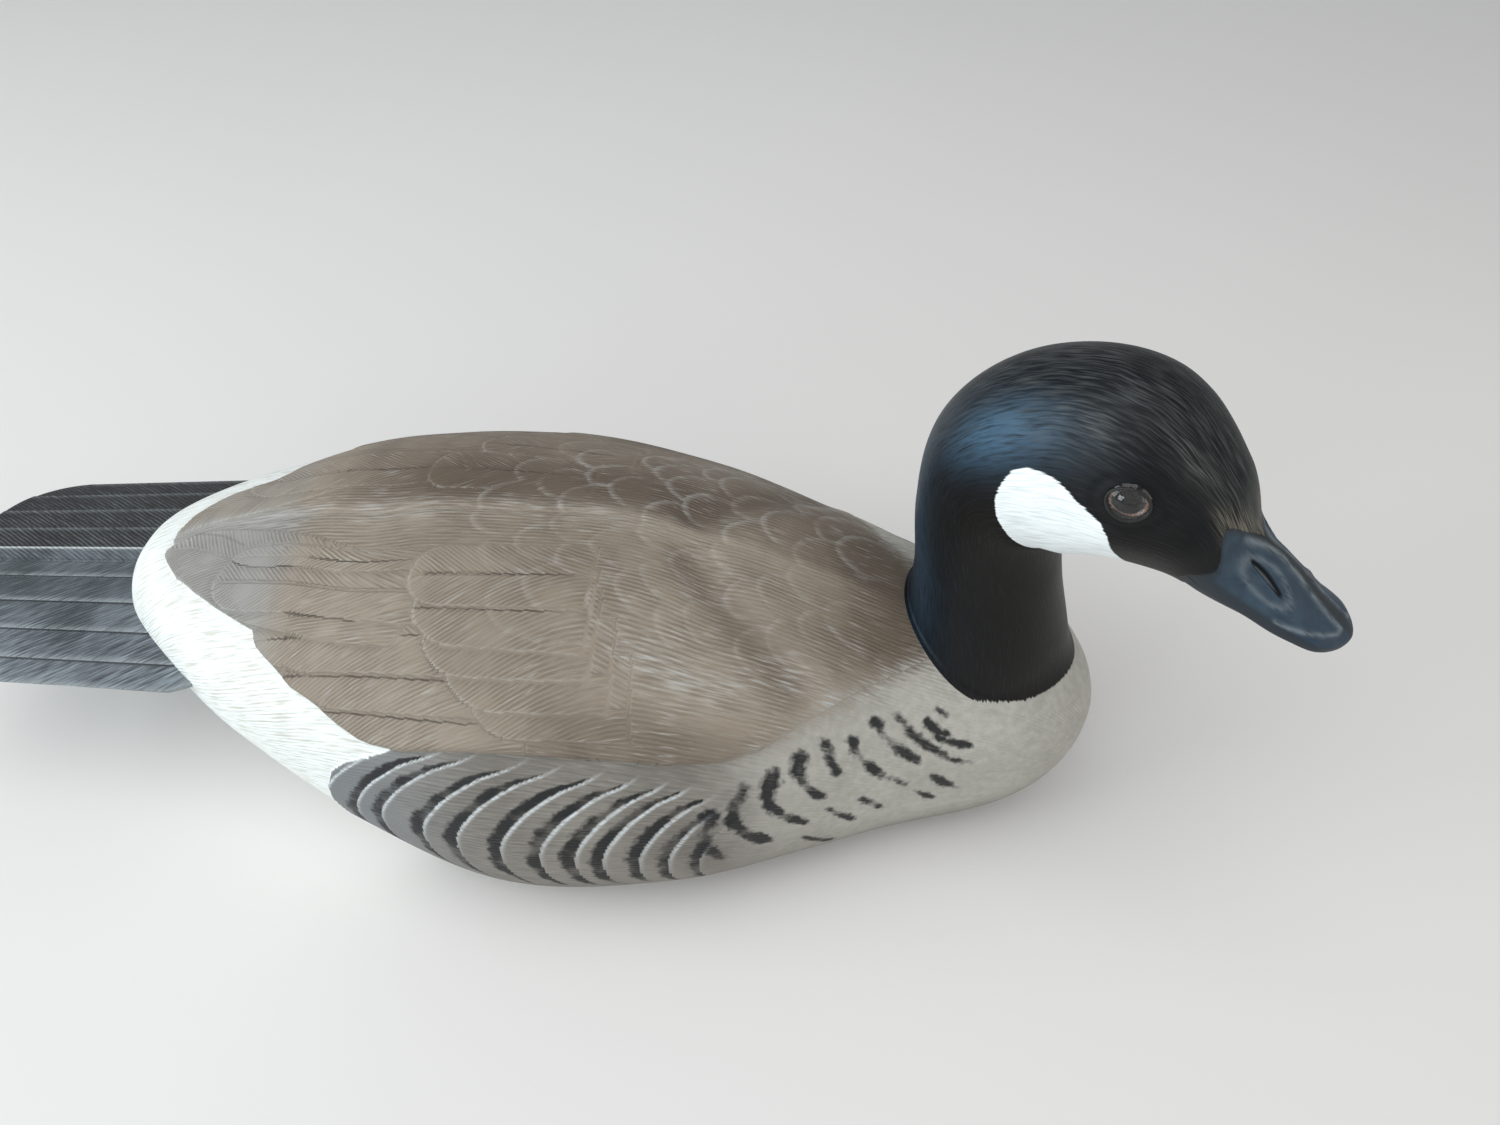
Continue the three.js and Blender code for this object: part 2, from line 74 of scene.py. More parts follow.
# The line where the two folded wings meet, and how far to the bird's left of the middle of the
# back it lies. All places out over the back are measured from it.
MEETING_LINE = (
    (-157, -12), (-136, -8.4), (-123, -2.6), (-105, -1.1), (-86, -1.9), (-66, -3), (-48, 1.6),
    (-30, 4.7), (-12, 6.8), (3, 7.8), (19, 6.1), (35, 2.4), (50, 0.9), (69, -2.5), (91, -5.7),
    (152, -6),
)
MEETING_FADE = (15, 60)

# The folded wing's outline, along and out: round the rear of the right and of the left wing, then
# the lower edge and the shoulder that both share.
RIGHT_WING_REAR = (
    (-132.2, -14), (-132.2, 0.3), (-133.8, 1.8), (-133, 4.4), (-131.2, 7.6), (-125.4, 16.9),
    (-117.5, 23.9), (-107.8, 30.6), (-98, 36.5), (-93, 39.3), (-90.4, 44.6), (-85.8, 49.6),
    (-78.5, 57.7), (-71, 62.8), (-63.9, 68.3), (-57.7, 72),
)
LEFT_WING_REAR = (
    (-132.2, -14), (-132.4, 0.3), (-133.2, 1.8), (-130, 9.6), (-121, 16), (-110, 20),
    (-106, 23.6), (-103.5, 28), (-98, 32.6), (-92, 37), (-84, 48), (-78.5, 57.7), (-57.7, 72),
)
WING_FRONT = (
    (-54, 73), (-45, 73.7), (-33, 71.7), (-15, 69.8), (2, 68.8), (15, 67.5), (27, 66.8),
    (42, 63.5), (52, 58.3), (58, 52.9), (65, 46.2), (73, 38), (84, 27), (97, 15), (104, -14),
)
SHOULDER_RIDGE = ((38, 5), (47, 15.3), (56, 24.9), (66, 33), (78, 40))
SHOULDER_TROUGH = ((26, 9), (37, 20.7), (43, 25), (51, 30.3), (60, 38))
WORN_PATCHES = ((12, 43), (19, 42), (27, 43), (36, 45), (47, 41), (60, 33), (68, 36))
# The rear edge of the flank's feathers, which lies over the white rump.
FLANK_OUTLINE = (
    (-44, 71.5), (-50, 75.3), (-57, 78.4), (-63.8, 81.3), (-69, 85.6), (-72, 92), (-73, 100),
    (-70, 112), (-63, 120), (-54, 134), (-40, 150), (-20, 220), (160, 220), (160, 60),
    (75, 30), (40, 60),
)

# Wing feathers, lowest first: tip along, tip out, heading of the shaft outwards in degrees,
# length, width on the back's side, width on the flank's side, length and sharpness of the rounded
# end, and how far the shaft bends over its length. The last number is the shaft's strength.
LONG_FEATHERS = (
    (-69.5, 64, 0, 66, 12, 10.2, 20, 1.7, -3, 0),
    (-81, 54, 0, 82, 13, 9.3, 18, 1.7, -5, 0),
    (-92.3, 43, 0, 92, 13, 10.2, 19, 1.6, -3, 0),
    (-133, 3.3, 25, 100, 14, 17, 50, 1.6, -17, 0.3),
)
RIGHT_TERTIALS = (
    (-110.2, 22.5, 7.3, 85, 13.2, 9.3, 13, 2.1, 0, 1),
    (-107, 14.9, 5.5, 72, 4.3, 3.4, 12, 1.8, 0, 0),
)
LEFT_TERTIALS = ((-116, 18, 1.5, 85, 8.2, 10, 13, 2, 0, 0.8),)
COVERTS = (
    (-25, 58.2, -6, 48, 12, 9, 12, 1.8, 0, 0),
    (-33, 51.2, -4, 50, 12, 9.3, 14, 1.8, -2, 0),
    (-41, 43.5, -2, 52, 13, 9, 11, 1.8, -2, 0),
    (-45.8, 35.5, 0, 54, 13, 9.5, 13, 1.9, -1, 0.3),
)
RIGHT_COVERT = (-49.3, 25.5, 0, 56, 10.5, 9.5, 10, 2.2, -2, 0.8)
LEFT_COVERT = (-56.2, 18, 0, 56, 10, 11, 8, 2.2, 0, 0.4)
BURNED_ARC = ((-128, 0.7), (-120, 3.5), (-113.8, 5.5), (-105, 10.4))
BARB_TURN = math.radians(38)
FLOWING_HEADING = 7
# How each kind of feather is carved: lift of its tip, strength and width of its pale rim, depth of
# the cut beside it, strength of the painted shade round it and softness of its edge.
LONG_STYLE = (0.55, 0.75, 0.9, 0.9, 0.4, 0.8)
TERTIAL_STYLE = (0.5, 0.8, 0.9, 0.35, 0.4, 0.8)
COVERT_STYLE = (0.6, 1, 1.1, 0.2, 0.4, 0.8)
# Where along a feather its lift is gone, then the heights and widths of its vane, its shaft, the
# cut beside it and the painted shade round it.
FEATHER_LEVEL = 0.62
FEATHER_CAMBER = 0.14
SHAFT_RISE = 0.14
SHAFT_WIDTH = 0.7
CUT_DEPTH = 0.2
CUT_WIDTH = 0.9
CUT_SHADE_WIDTH = 0.85
SHADE_REACH = 2
FEATHER_MARGIN = 8
FEATHER_FADE = 12
# Stand-ins for distances where there is no edge or shaft near by.
FAR_OFF = 6.0
NO_SHAFT = 9.0
# Small feathers over the fore wing: first and last row and their step, how much a row bends
# forward outwards, the feathers' spacing in half widths, their style at full strength, how far
# chance moves a tip along and out and turns it, and each side's half width and strength.
SCALLOP_ROWS = (-38, 66, 11.5)
SCALLOP_ROW_BEND = 0.012
SCALLOP_SPACING = 1.72
SCALLOP_STYLE = (0.9, 1.35, 2.8, 0, 0.7, 1.4)
SCALLOP_SPREAD = (1.4, 0.9, 4)
SCALLOP_SIDES = {1: (9.5, 0.42), -1: (8, 0.28)}
SCALLOP_LENGTH = 26
SCALLOP_END = (11, 1.9, 0, 0)
SCALLOP_SEED = 4

# Where the edges of the flank's feathers cross the middle of the flank, and how far each lies
# ahead of its crossing, by its place down the side.
FLANK_EDGES = (-66, -54, -45, -31, -20.5, -8, 2.5, 11.5, 18.5, 27.5, 35, 43, 51, 60, 70)
FLANK_SWEEP = (
    (60, 34), (70, 24), (74, 17.5), (78, 9), (85, 0), (92, -5.6), (98, -8.6), (105, -9.4),
    (115, -7), (125, 1), (140, 16), (220, 90),
)
FLANK_SLANT = ((-70, 1), (-10, 0.95), (30, 0.72), (80, 0.55), (152, 0.5))
FLANK_BAR_END = 38
FLANK_WIDEST = 60
FLANK_BAR_WIDTH = 3.7
FLANK_BAR_NARROWING = 0.9

# Heights carved over the body. The wing's rear is lifted at the middle of the back, and more over
# the flank; a form is the height and reach of a long soft ridge or groove.
REAR_LIFT = (0.1, 0.9)
FRONT_LIFT = 0.1
SHOULDER_FORM = (0.9, 7)
TROUGH_FORM = (-1.4, 5.5)
MEETING_FORM = (-0.5, 1.6)
SPINE_FORM = (0.5, 4)
FLANK_EDGE_RISE = 0.55
FLANK_EDGE_DIP = 0.3
FLANK_PLUMPNESS = 1.2
WING_GROOVE_DEPTH = 1.1
RUMP_DROP = 0.5
RUMP_GROOVE_DEPTH = 0.7

# Short dark bars on the fore flank and breast: points along and down the side, then half width.
BREAST_BARS = (
    (((40, 79), (38.4, 86), (38.6, 93), (42, 99)), 1.9),
    (((48, 69.5), (46, 76), (46, 82), (49.5, 88), (55, 91.5)), 1.9),
    (((56, 64.5), (54.6, 69), (55.6, 74.5), (59, 79), (65, 82.5)), 1.8),
    (((63.5, 57.5), (62.8, 62), (65.6, 67), (69.5, 70)), 1.7),
    (((69.6, 52.5), (70.6, 56), (74, 60.5)), 1.6),
    (((77.6, 49), (79, 53), (82, 56), (87, 59.5)), 1.7),
    (((84, 41), (86.4, 44.6), (90, 47.6), (96.5, 51.6)), 1.7),
    (((90.4, 37), (94, 41.6), (98.5, 44.6), (103.5, 46.6)), 1.6),
    (((98, 36), (101.5, 38.2), (104, 38.6)), 1.1),
    (((102, 40.5), (106, 41.2), (110.5, 41)), 1.1),
    (((103, 47.6), (108, 48.4), (112, 47.8)), 1.1),
    (((90, 60), (94, 62.6)), 1.2),
    (((102, 57.5), (106, 60.4), (110, 62)), 1.3),
    (((97.6, 66), (103, 68.6)), 1),
    (((101, 30.6), (104, 32)), 0.9),
    (((73, 77), (79, 81.5)), 1.3),
    (((66, 92), (74, 97)), 1.4),
    (((82, 71), (87.5, 74.6)), 1.2),
)

# Neck and head sections: station, along, height, upward pitch of the axis in degrees, then the
# reach to the nape or crown, to the throat, and to either flank.
HEAD_SECTIONS = (
    (0, 113, 51, 90, 24.5, 31, 28),
    (1, 111.5, 73, 90, 21, 26.5, 24.5),
    (2, 109.5, 95, 92, 18.5, 22, 20.3),
    (3, 108.5, 114, 84, 20, 20.5, 19.3),
    (4, 112, 130.5, 58, 24, 21.8, 20.7),
    (5, 125.5, 142, 28, 28.4, 24, 23),
    (6, 143, 145.5, 4, 28.6, 19.5, 22.3),
    (7, 159.3, 142, -14, 16.5, 16, 16.4),
    (8, 168.2, 134.3, -18, 10.9, 9.6, 12.4),
    (9, 177, 130.3, -15, 10.5, 6.3, 10),
    (10, 185.5, 128.3, -14, 7.2, 5.9, 9.8),
    (11, 193, 126.5, -14, 4.4, 4.4, 8.9),
    (12, 199.5, 124.9, -14, 2.8, 3, 6.4),
)
HEAD_TURN = -30
TURN_AXIS_X = 112
TURN_START = 1
TURN_END = 4
BILL_BASE = 7.4
BILL_BOXED = 9
BILL_RIDGE_END = 10.3
BILL_ROUNDING_START = 10.9
BILL_TIP = 12
BILL_TIP_FULLNESS = 2.4
BILL_TIP_FLATTENING = 0.6
BILL_LOWER_SQUARENESS = 0.62
BILL_RIDGE_SHARPNESS = 1.35
MOUTH_ANGLE = 106
LOWER_BILL_INSET = 0.7
FEATHER_EDGE = (
    (0, 8.25), (20, 7.85), (42, 7.4), (52, 7.5), (62, 7.76), (74, 7.85), (90, 7.68),
    (106, 7.48), (122, 7.45), (150, 7.8), (180, 8.1),
)
HEAD_COLUMNS = 264
NECK_FOOT_ROWS = 24
HEAD_ROWS = 300
# The fillet round the neck's foot, at the nape and at the breast: reach over the body, and rise.
NECK_FOOT_REACH = (1, 7)
NECK_FOOT_RISE = (3, 13)
# The foot's last ring lies sunk in the body, a little outside its edge.
NECK_FOOT_LIP = 0.8
NECK_FOOT_SINK = 0.6
NECK_FOOT_FINE = 2000
NECK_STATION_LENGTH = 22
# The highest station at which the neck can meet the body, and how often the search halves it.
NECK_MEETING_LIMIT = 2.2
NECK_MEETING_STEPS = 40
BLACK_EDGE_ROW = NECK_FOOT_ROWS // 2 + 2
# The feathers end at the bill in a step, tucked in over its base.
FEATHER_STEP = 0.35
FEATHER_TUCK = 0.9
HEAD_MEAN_RADIUS = 22
# Where the black paint starts above the neck's meeting line: degrees from the nape, millimetres.
BLACK_EDGE = (
    (0, -5), (60, -5), (75, -4), (88, -2.5), (100, -1), (120, -0.6), (150, -0.6), (180, -1.8),
)
# The off-white cheek patch: station, degrees from the crown line.
CHEEK_PATCH = (
    (5.1, 68), (5.3, 70), (5.45, 73), (5.65, 80), (5.8, 83.5), (5.95, 87), (6.08, 94.5),
    (6.16, 107), (6.37, 128), (6.4, 142), (6.3, 160), (6.1, 200), (3.9, 200), (3.94, 160),
    (4, 138), (4.15, 121), (4.3, 107), (4.4, 95), (4.55, 84), (4.73, 76), (4.9, 70),
)
# Soft patches of painted sheen on the head, blue at its back and grey on its top: station, degrees
# from the crown line, reach in stations and in degrees, strength.
HEAD_BLUE_SHEEN = ((4.8, 50, 0.6, 17, 1), (2.8, 30, 1.8, 26, 0.35))
HEAD_GREY_SHEEN = ((5.55, 44, 0.42, 14, 0.9), (5.4, 6, 0.6, 16, 0.7), (6.55, 31, 0.4, 10, 1))
# Soft rises and hollows of the face, in the same way, the last number being millimetres.
FACE_MUSCLES = ((6.25, 50, 0.5, 9, 0.9), (6.85, 66, 0.3, 16, -0.9), (6.3, 98, 0.5, 12, 0.5))
# Where the crown's lighter paint starts, and how far it and the forehead's tan strokes reach
# down the sides in degrees. The left side's reaches lower.
CROWN_STARTS = (3.6, 4.8)
CROWN_SPREAD = (30, 66)
CROWN_LEFT_DROP = 14
FRINGE_STARTS = (6.2, 7.6)
FRINGE_SPREAD = (38, 60)
STATION_LENGTH = 19
DEGREE_LENGTH = 0.39

# The tail: a low roof of nine long feathers, the middle one on top. Its feathers' edges are given
# on one side of the middle, as parts of the half width.
TAIL_ROOT_X = -113
TAIL_TIP_X = -219.5
TAIL_ROOT_Z = 63.5
TAIL_TIP_Z = 57.6
TAIL_ROOT_HALF_WIDTH = 42
TAIL_WIDEST_X = -127
TAIL_HALF_WIDTH = 46.8
TAIL_TIP_HALF_WIDTH = 42.5
TAIL_ROOF_DROP = 5.3
TAIL_TIP_ROUNDING = 24
TAIL_TIP_SQUARENESS = 4.5
TAIL_SWING = 0.05
TAIL_SWING_FROM_X = -168
TAIL_ROOT_THICKNESS = 6
TAIL_TIP_THICKNESS = 2.8
TAIL_SIDE_THINNING = 0.55
TAIL_SIDE_SHARPNESS = 4
TAIL_FEATHER_EDGES = (0.15, 0.37, 0.6, 0.82, 1)
TAIL_MIDDLE_RISE = 0.65
TAIL_FEATHER_STEP = 0.32
TAIL_FEATHER_TILT = 0.3
TAIL_SHAFT_RISE = 0.2
TAIL_END_ROUNDING = 1.2
TAIL_ROWS = 200
TAIL_CLOSING_ROWS = 5
TAIL_COLUMNS_PER_FEATHER = 24
TAIL_BARB_TURN = math.radians(34)

# Marks on the upper bill: station, degrees from the crown line.
NOSTRIL_SLIT = ((8.25, 35.5), (9.58, 48.5))
NOSTRIL_BOWL = ((8.19, 41), (9.77, 51.5))
RIDGE_LINE = (
    (7.9, 24), (8.33, 12), (8.65, 10), (9.12, 12), (9.55, 12), (10.08, 16), (10.73, 18),
    (11.4, 20), (11.42, 35), (11.1, 51), (10.55, 67), (10.18, 76), (9.8, 80),
)
NOSTRIL_SLIT_HALF_HEIGHT = 0.62
NOSTRIL_BOWL_HALF_HEIGHT = 2.6
NOSTRIL_BOWL_DEPTH = 0.6
NOSTRIL_BOWL_RIM = 0.16
NOSTRIL_SLIT_DEPTH = 1.4
NOSTRIL_SLIT_RIM = 0.3
BILL_RIDGE_RISE = 0.26
# Rows and columns of the bill's halves, and columns across their closed mouth sides.
BILL_UPPER_GRID = (170, 190)
BILL_LOWER_GRID = (110, 90)
BILL_UPPER_INNER = 14
# Stands for a place far from every mark on the bill.
BILL_FAR = 100
BILL_LOWER_INNER = 10
BILL_STATION_LENGTH = 9
BILL_DEGREE_LENGTH = 0.16

EYE_STATION = 6.18
EYE_ANGLE = 72
EYE_DOME_RADIUS = 7.5
EYE_RADIUS = 5.5
EYE_PROUD = 1.9
EYE_OPENING = (4.75, 3.7)
EYE_TILT = 7
# The socket cut behind an eye, from and to parts of the opening, and the hollow round the lid.
SOCKET_DEPTH = 2.6
SOCKET_EDGE = (0.82, 1.02)
LID_HOLLOW_FORM = (-0.2, 0.26)
LID_HOLLOW_REACH = 1.6
# Skin further behind an eye than this belongs to the head's other side.
EYE_SIDE_DEPTH = 6
LID_WIDTH = 0.42
LID_HEIGHT = 0.4
# Depths below the dome's rim: the glass's back, the iris with its dish, and the eye's back.
GLASS_BACK = 1.4
IRIS_DEPTH = 1.45
IRIS_DISH = 0.25
EYE_BACK = 3.2
EYE_SIDES = 64
LID_SIDES = (120, 14)
# Half the patch of skin an eye faces out of, in stations and in radians.
EYE_PATCH_ALONG = 0.3
EYE_PATCH_AROUND = 0.2
DOME_HEIGHT = EYE_DOME_RADIUS - math.sqrt(EYE_DOME_RADIUS**2 - EYE_RADIUS**2)
PUPIL_LENGTH = 3.15
PUPIL_HEIGHT = 2.6
PUPIL_SOFTNESS = 0.2

# The camera at the photograph's view: place in millimetres, then how far it is turned to the left
# of +Y, tilted up from straight down and rolled, in degrees.
CAMERA_PLACE = (66.27, -219.41, 321.82)
CAMERA_HEADING = 5.904
CAMERA_TILT = 43.182
CAMERA_ROLL = 0.585
PHOTO_WIDTH = 1500
FOCAL_PIXELS = 1100
SENSOR_WIDTH = 36
CAMERA_NEAREST = 0.01

# The studio, in metres. The floor lies just under the decoy's flat underside.
FLOOR_SIZE = 8
FLOOR_HEIGHT = -0.0002
SKY_COLOUR = (0.93, 0.96, 1.0, 1)
SKY_STRENGTH = 0.42
# Soft lights: name, place, power, size and colour.
LIGHT_AIM = (0.02, 0, 0.05)
STUDIO_LIGHTS = (
    ("key", (-1.15, -0.35, 0.6), 9, 0.9, (0.9, 0.96, 1.0)),
    ("top", (-0.1, -0.3, 1.25), 6, 1.1, (1.0, 1.0, 1.0)),
    ("fill", (0.95, -0.65, 0.6), 3, 0.9, (1.0, 0.95, 0.89)),
    ("glint", (-0.55, -0.85, 0.33), 1.8, 0.3, (0.8, 0.91, 1.0)),
)


def smooth_step(start, end, value):
    """0 before the start, 1 past the end, and a smooth rise between."""
    part = np.clip((value - start) / (end - start), 0, 1)
    return part * part * (3 - 2 * part)


def fall(start, end, value):
    """1 before the start, 0 past the end, and a smooth fall between."""
    return 1 - smooth_step(start, end, value)


def bell(value, width):
    return np.exp(-((value / width) ** 2))


def signed_power(value, power):
    return np.sign(value) * np.abs(value) ** power


def smooth_row(stations, at):
    """Values on smooth curves through stations whose first number is the place."""
    table = np.asarray(stations, float)
    place = table[:, 0]
    at = np.asarray(at, float)
    last = len(place) - 1
    index = np.clip(np.searchsorted(place, at, side="right") - 1, 0, last - 1)
    before = np.maximum(np.arange(last + 1) - 1, 0)
    after = np.minimum(np.arange(last + 1) + 1, last)
    slope = (table[after, 1:] - table[before, 1:]) / (place[after] - place[before])[:, None]
    span = (place[index + 1] - place[index])[..., None]
    t = np.clip((at[..., None] - place[index][..., None]) / span, 0, 1)
    start_weight = 2 * t**3 - 3 * t**2 + 1
    start_slope = (t**3 - 2 * t**2 + t) * span
    end_slope = (t**3 - t**2) * span
    value = start_weight * table[index, 1:] + (1 - start_weight) * table[index + 1, 1:]
    return value + start_slope * slope[index] + end_slope * slope[index + 1]


def smooth_line(stations, at):
    return smooth_row(stations, at)[..., 0]


def line_distance(x, y, points):
    """Distance from each place to a line through points."""
    best = np.full(np.broadcast(x, y).shape, np.inf)
    for (ax, ay), (bx, by) in zip(points[:-1], points[1:]):
        dx, dy = bx - ax, by - ay
        part = np.clip(((x - ax) * dx + (y - ay) * dy) / (dx * dx + dy * dy), 0, 1)
        best = np.minimum(best, np.hypot(x - ax - part * dx, y - ay - part * dy))
    return best


def inside_distance(x, y, outline):
    """Distance to a closed outline, positive inside it."""
    closed = tuple(outline) + (outline[0],)
    inside = np.zeros(np.broadcast(x, y).shape, bool)
    for (ax, ay), (bx, by) in zip(closed[:-1], closed[1:]):
        if ay != by:
            crosses = (ay > y) != (by > y)
            inside ^= crosses & (x < (bx - ax) * (y - ay) / (by - ay) + ax)
    distance = line_distance(x, y, closed)
    return np.where(inside, distance, -distance)


def unit(vectors):
    return vectors / np.maximum(np.linalg.norm(vectors, axis=-1, keepdims=True), 1e-9)


def run_lengths(points, axis):
    """Lengths travelled from the start along one axis of a grid of points."""
    run = np.cumsum(np.linalg.norm(np.diff(points, axis=axis), axis=-1), axis=axis)
    return np.concatenate([np.zeros_like(np.take(run, [0], axis)), run], axis=axis)


def outward_normals(points, inside, closed=False):
    """Normals of a grid of points, all looking away from a place inside."""
    across = np.gradient(points, axis=1)
    if closed:
        across = (np.roll(points, -1, axis=1) - np.roll(points, 1, axis=1)) / 2
    normal = unit(np.cross(np.gradient(points, axis=0), across))
    return normal if np.median((normal * (points - inside)).sum(-1)) > 0 else -normal


def stack_fields(*fields):
    return np.stack(np.broadcast_arrays(*fields), axis=-1)


def body_section(x):
    top, bottom, half_width, widest = np.moveaxis(smooth_row(BODY_SECTIONS, x), -1, 0)
    front = np.clip((x - BREAST_ROUNDING_START) / (BREAST_END - BREAST_ROUNDING_START), 0, 1)
    rear = np.clip((RUMP_ROUNDING_START - x) / (RUMP_ROUNDING_START - RUMP_END), 0, 1)
    size = np.sqrt(1 - front**BREAST_FULLNESS) * np.sqrt(1 - rear**RUMP_FULLNESS)
    return top, bottom, half_width, widest, size


def body_surface(x, angle):
    """Body points by place along and angle, 90 degrees over the back, 0 on the left flank."""
    top, bottom, half_width, widest, size = body_section(x)
    up = np.sin(angle)
    is_upper = up >= 0
    roundness = np.where(is_upper, UPPER_ROUNDNESS, LOWER_ROUNDNESS)
    reach = np.where(is_upper, top - widest, widest - bottom)
    y = half_width * size * signed_power(np.cos(angle), roundness)
    z = np.maximum(0, widest + reach * size * signed_power(up, roundness))
    return stack_fields(x, y, z)


def body_top(x, y):
    """Height of the body's upper surface over a place."""
    top, _, half_width, widest, size = body_section(x)
    across = np.clip(np.abs(y) / np.maximum(half_width * size, 1e-6), 0, 1)
    across = across ** (1 / UPPER_ROUNDNESS)
    return widest + (top - widest) * size * np.sqrt(1 - across**2) ** UPPER_ROUNDNESS


def head_point(station, angle, lower_inset=0):
    """A point of the neck, head or bill by station and angle from the crown line to the left."""
    station, angle = np.broadcast_arrays(np.asarray(station, float), angle)
    x, z, pitch, crown, throat, flank = np.moveaxis(smooth_row(HEAD_SECTIONS, station), -1, 0)
    tilt = np.radians(pitch)
    tip = (station - BILL_ROUNDING_START) / (BILL_TIP - BILL_ROUNDING_START)
    closing = np.sqrt(1 - np.clip(tip, 0, 1) ** BILL_TIP_FULLNESS)
    boxed = smooth_step(BILL_BASE, BILL_BOXED, station)
    ridged = boxed * fall(BILL_RIDGE_END, BILL_TIP, station)
    is_lower = np.cos(angle) < 0
    power = np.where(is_lower, 1 + (BILL_LOWER_SQUARENESS - 1) * boxed,
                     1 + (BILL_RIDGE_SHARPNESS - 1) * ridged)
    up = signed_power(np.cos(angle), power) * np.where(is_lower, throat, crown)
    up = up * closing**BILL_TIP_FLATTENING
    side = signed_power(np.sin(angle), power) * (flank - lower_inset * boxed) * closing
    turn = np.radians(HEAD_TURN * smooth_step(TURN_START, TURN_END, station))
    forward = x - np.sin(tilt) * up - TURN_AXIS_X
    return np.stack([
        TURN_AXIS_X + forward * np.cos(turn) - side * np.sin(turn),
        forward * np.sin(turn) + side * np.cos(turn),
        z + np.cos(tilt) * up,
    ], axis=-1)


def degrees_from_crown(angle):
    return np.abs((np.degrees(angle) + 180) % 360 - 180)


def feather_edge(angle):
    return smooth_line(FEATHER_EDGE, degrees_from_crown(angle))


def quads_of(rows, columns, closed=False):
    """Corner numbers of a grid's faces, its columns joined round when closed."""
    row, column = np.meshgrid(
        np.arange(rows - 1), np.arange(columns if closed else columns - 1), indexing="ij"
    )
    a = (row * columns + column).ravel()
    b = (row * columns + (column + 1) % columns).ravel()
    return np.stack([a, a + columns, b + columns, b], axis=1)


def turned_outwards(points, faces):
    """The faces with their corners in the order that makes them look out of the body."""
    offset = points - BODY_INSIDE
    volume = 0.0
    for face in faces:
        for corner in range(1, face.shape[1] - 1):
            a, b, c = (offset[face[:, index]] for index in (0, corner, corner + 1))
            volume += np.einsum("ij,ij->", a, np.cross(b, c))
    return faces if volume > 0 else [face[:, ::-1] for face in faces]


def make_mesh(name, points, faces, uv, attributes, normals=None):
    """A smooth mesh object from points in millimetres and lists of faces."""
    points = np.asarray(points, float).reshape(-1, 3)
    faces = turned_outwards(points, faces)
    corners = np.concatenate([face.ravel() for face in faces])
    totals = np.concatenate([np.full(len(face), face.shape[1]) for face in faces])
    starts = np.concatenate([[0], np.cumsum(totals)[:-1]])
    mesh = bpy.data.meshes.new(name)
    mesh.vertices.add(len(points))
    mesh.vertices.foreach_set("co", (points * MM).astype(np.float32).ravel())
    mesh.loops.add(len(corners))
    mesh.loops.foreach_set("vertex_index", corners.astype(np.int32))
    mesh.polygons.add(len(totals))
    mesh.polygons.foreach_set("loop_start", starts.astype(np.int32))
    mesh.polygons.foreach_set("loop_total", totals.astype(np.int32))
    mesh.polygons.foreach_set("use_smooth", np.ones(len(totals), bool))
    layer = mesh.uv_layers.new(name=BAKE_MAP)
    layer.data.foreach_set("uv", np.asarray(uv, np.float32).reshape(-1, 2)[corners].ravel())
    for title, value in attributes.items():
        attribute = mesh.attributes.new(title, "FLOAT_VECTOR", "POINT")
        attribute.data.foreach_set("vector", value.astype(np.float32).ravel())
    mesh.update(calc_edges=True)
    mesh.validate()
    if normals is not None:
        mesh.normals_split_custom_set_from_vertices(normals.reshape(-1, 3).tolist())
    piece = bpy.data.objects.new(name, mesh)
    bpy.context.scene.collection.objects.link(piece)
    return piece


def grid_uv(rows, columns):
    v, u = np.meshgrid(np.linspace(0.01, 0.99, rows), np.linspace(0.01, 0.99, columns),
                       indexing="ij")
    return np.stack([u, v], axis=-1)


def closed_loft(name, points, attributes, normals=None):
    """A closed solid through rings of equal count, its ends fanned to their centres."""
    rows, count = points.shape[:2]
    ring = np.arange(count)
    following = (ring + 1) % count
    end = (rows - 1) * count
    first_hub = np.full(count, rows * count)
    faces = [
        quads_of(rows, count, closed=True),
        np.stack([first_hub, ring, following], axis=1),
        np.stack([first_hub + 1, end + following, end + ring], axis=1),
    ]

    def with_hubs(values):
        hubs = values[[0, -1]].mean(axis=1)
        return np.concatenate([values.reshape(-1, values.shape[-1]), hubs])

    return make_mesh(
        name, with_hubs(points), faces, with_hubs(grid_uv(rows, count)),
        {title: with_hubs(value) for title, value in attributes.items()},
        None if normals is None else with_hubs(normals),
    )


def feather_reach(s, m, feather):
    """How far inside a feather's rounded outline a place lies, and how near its end and side."""
    inner, outer, end, power = feather[4:8]
    width = np.where(m > 0, outer, inner)
    end_part = np.clip(1 - s / end, 0, 2)
    side_part = np.clip(np.abs(m) / width, 0, 3)
    slope = power * np.hypot(end_part ** (power - 1) / end, side_part ** (power - 1) / width)
    edge = (1 - end_part**power - side_part**power) / np.maximum(slope, 0.02)
    return np.clip(edge, -FAR_OFF, FAR_OFF), end_part, side_part


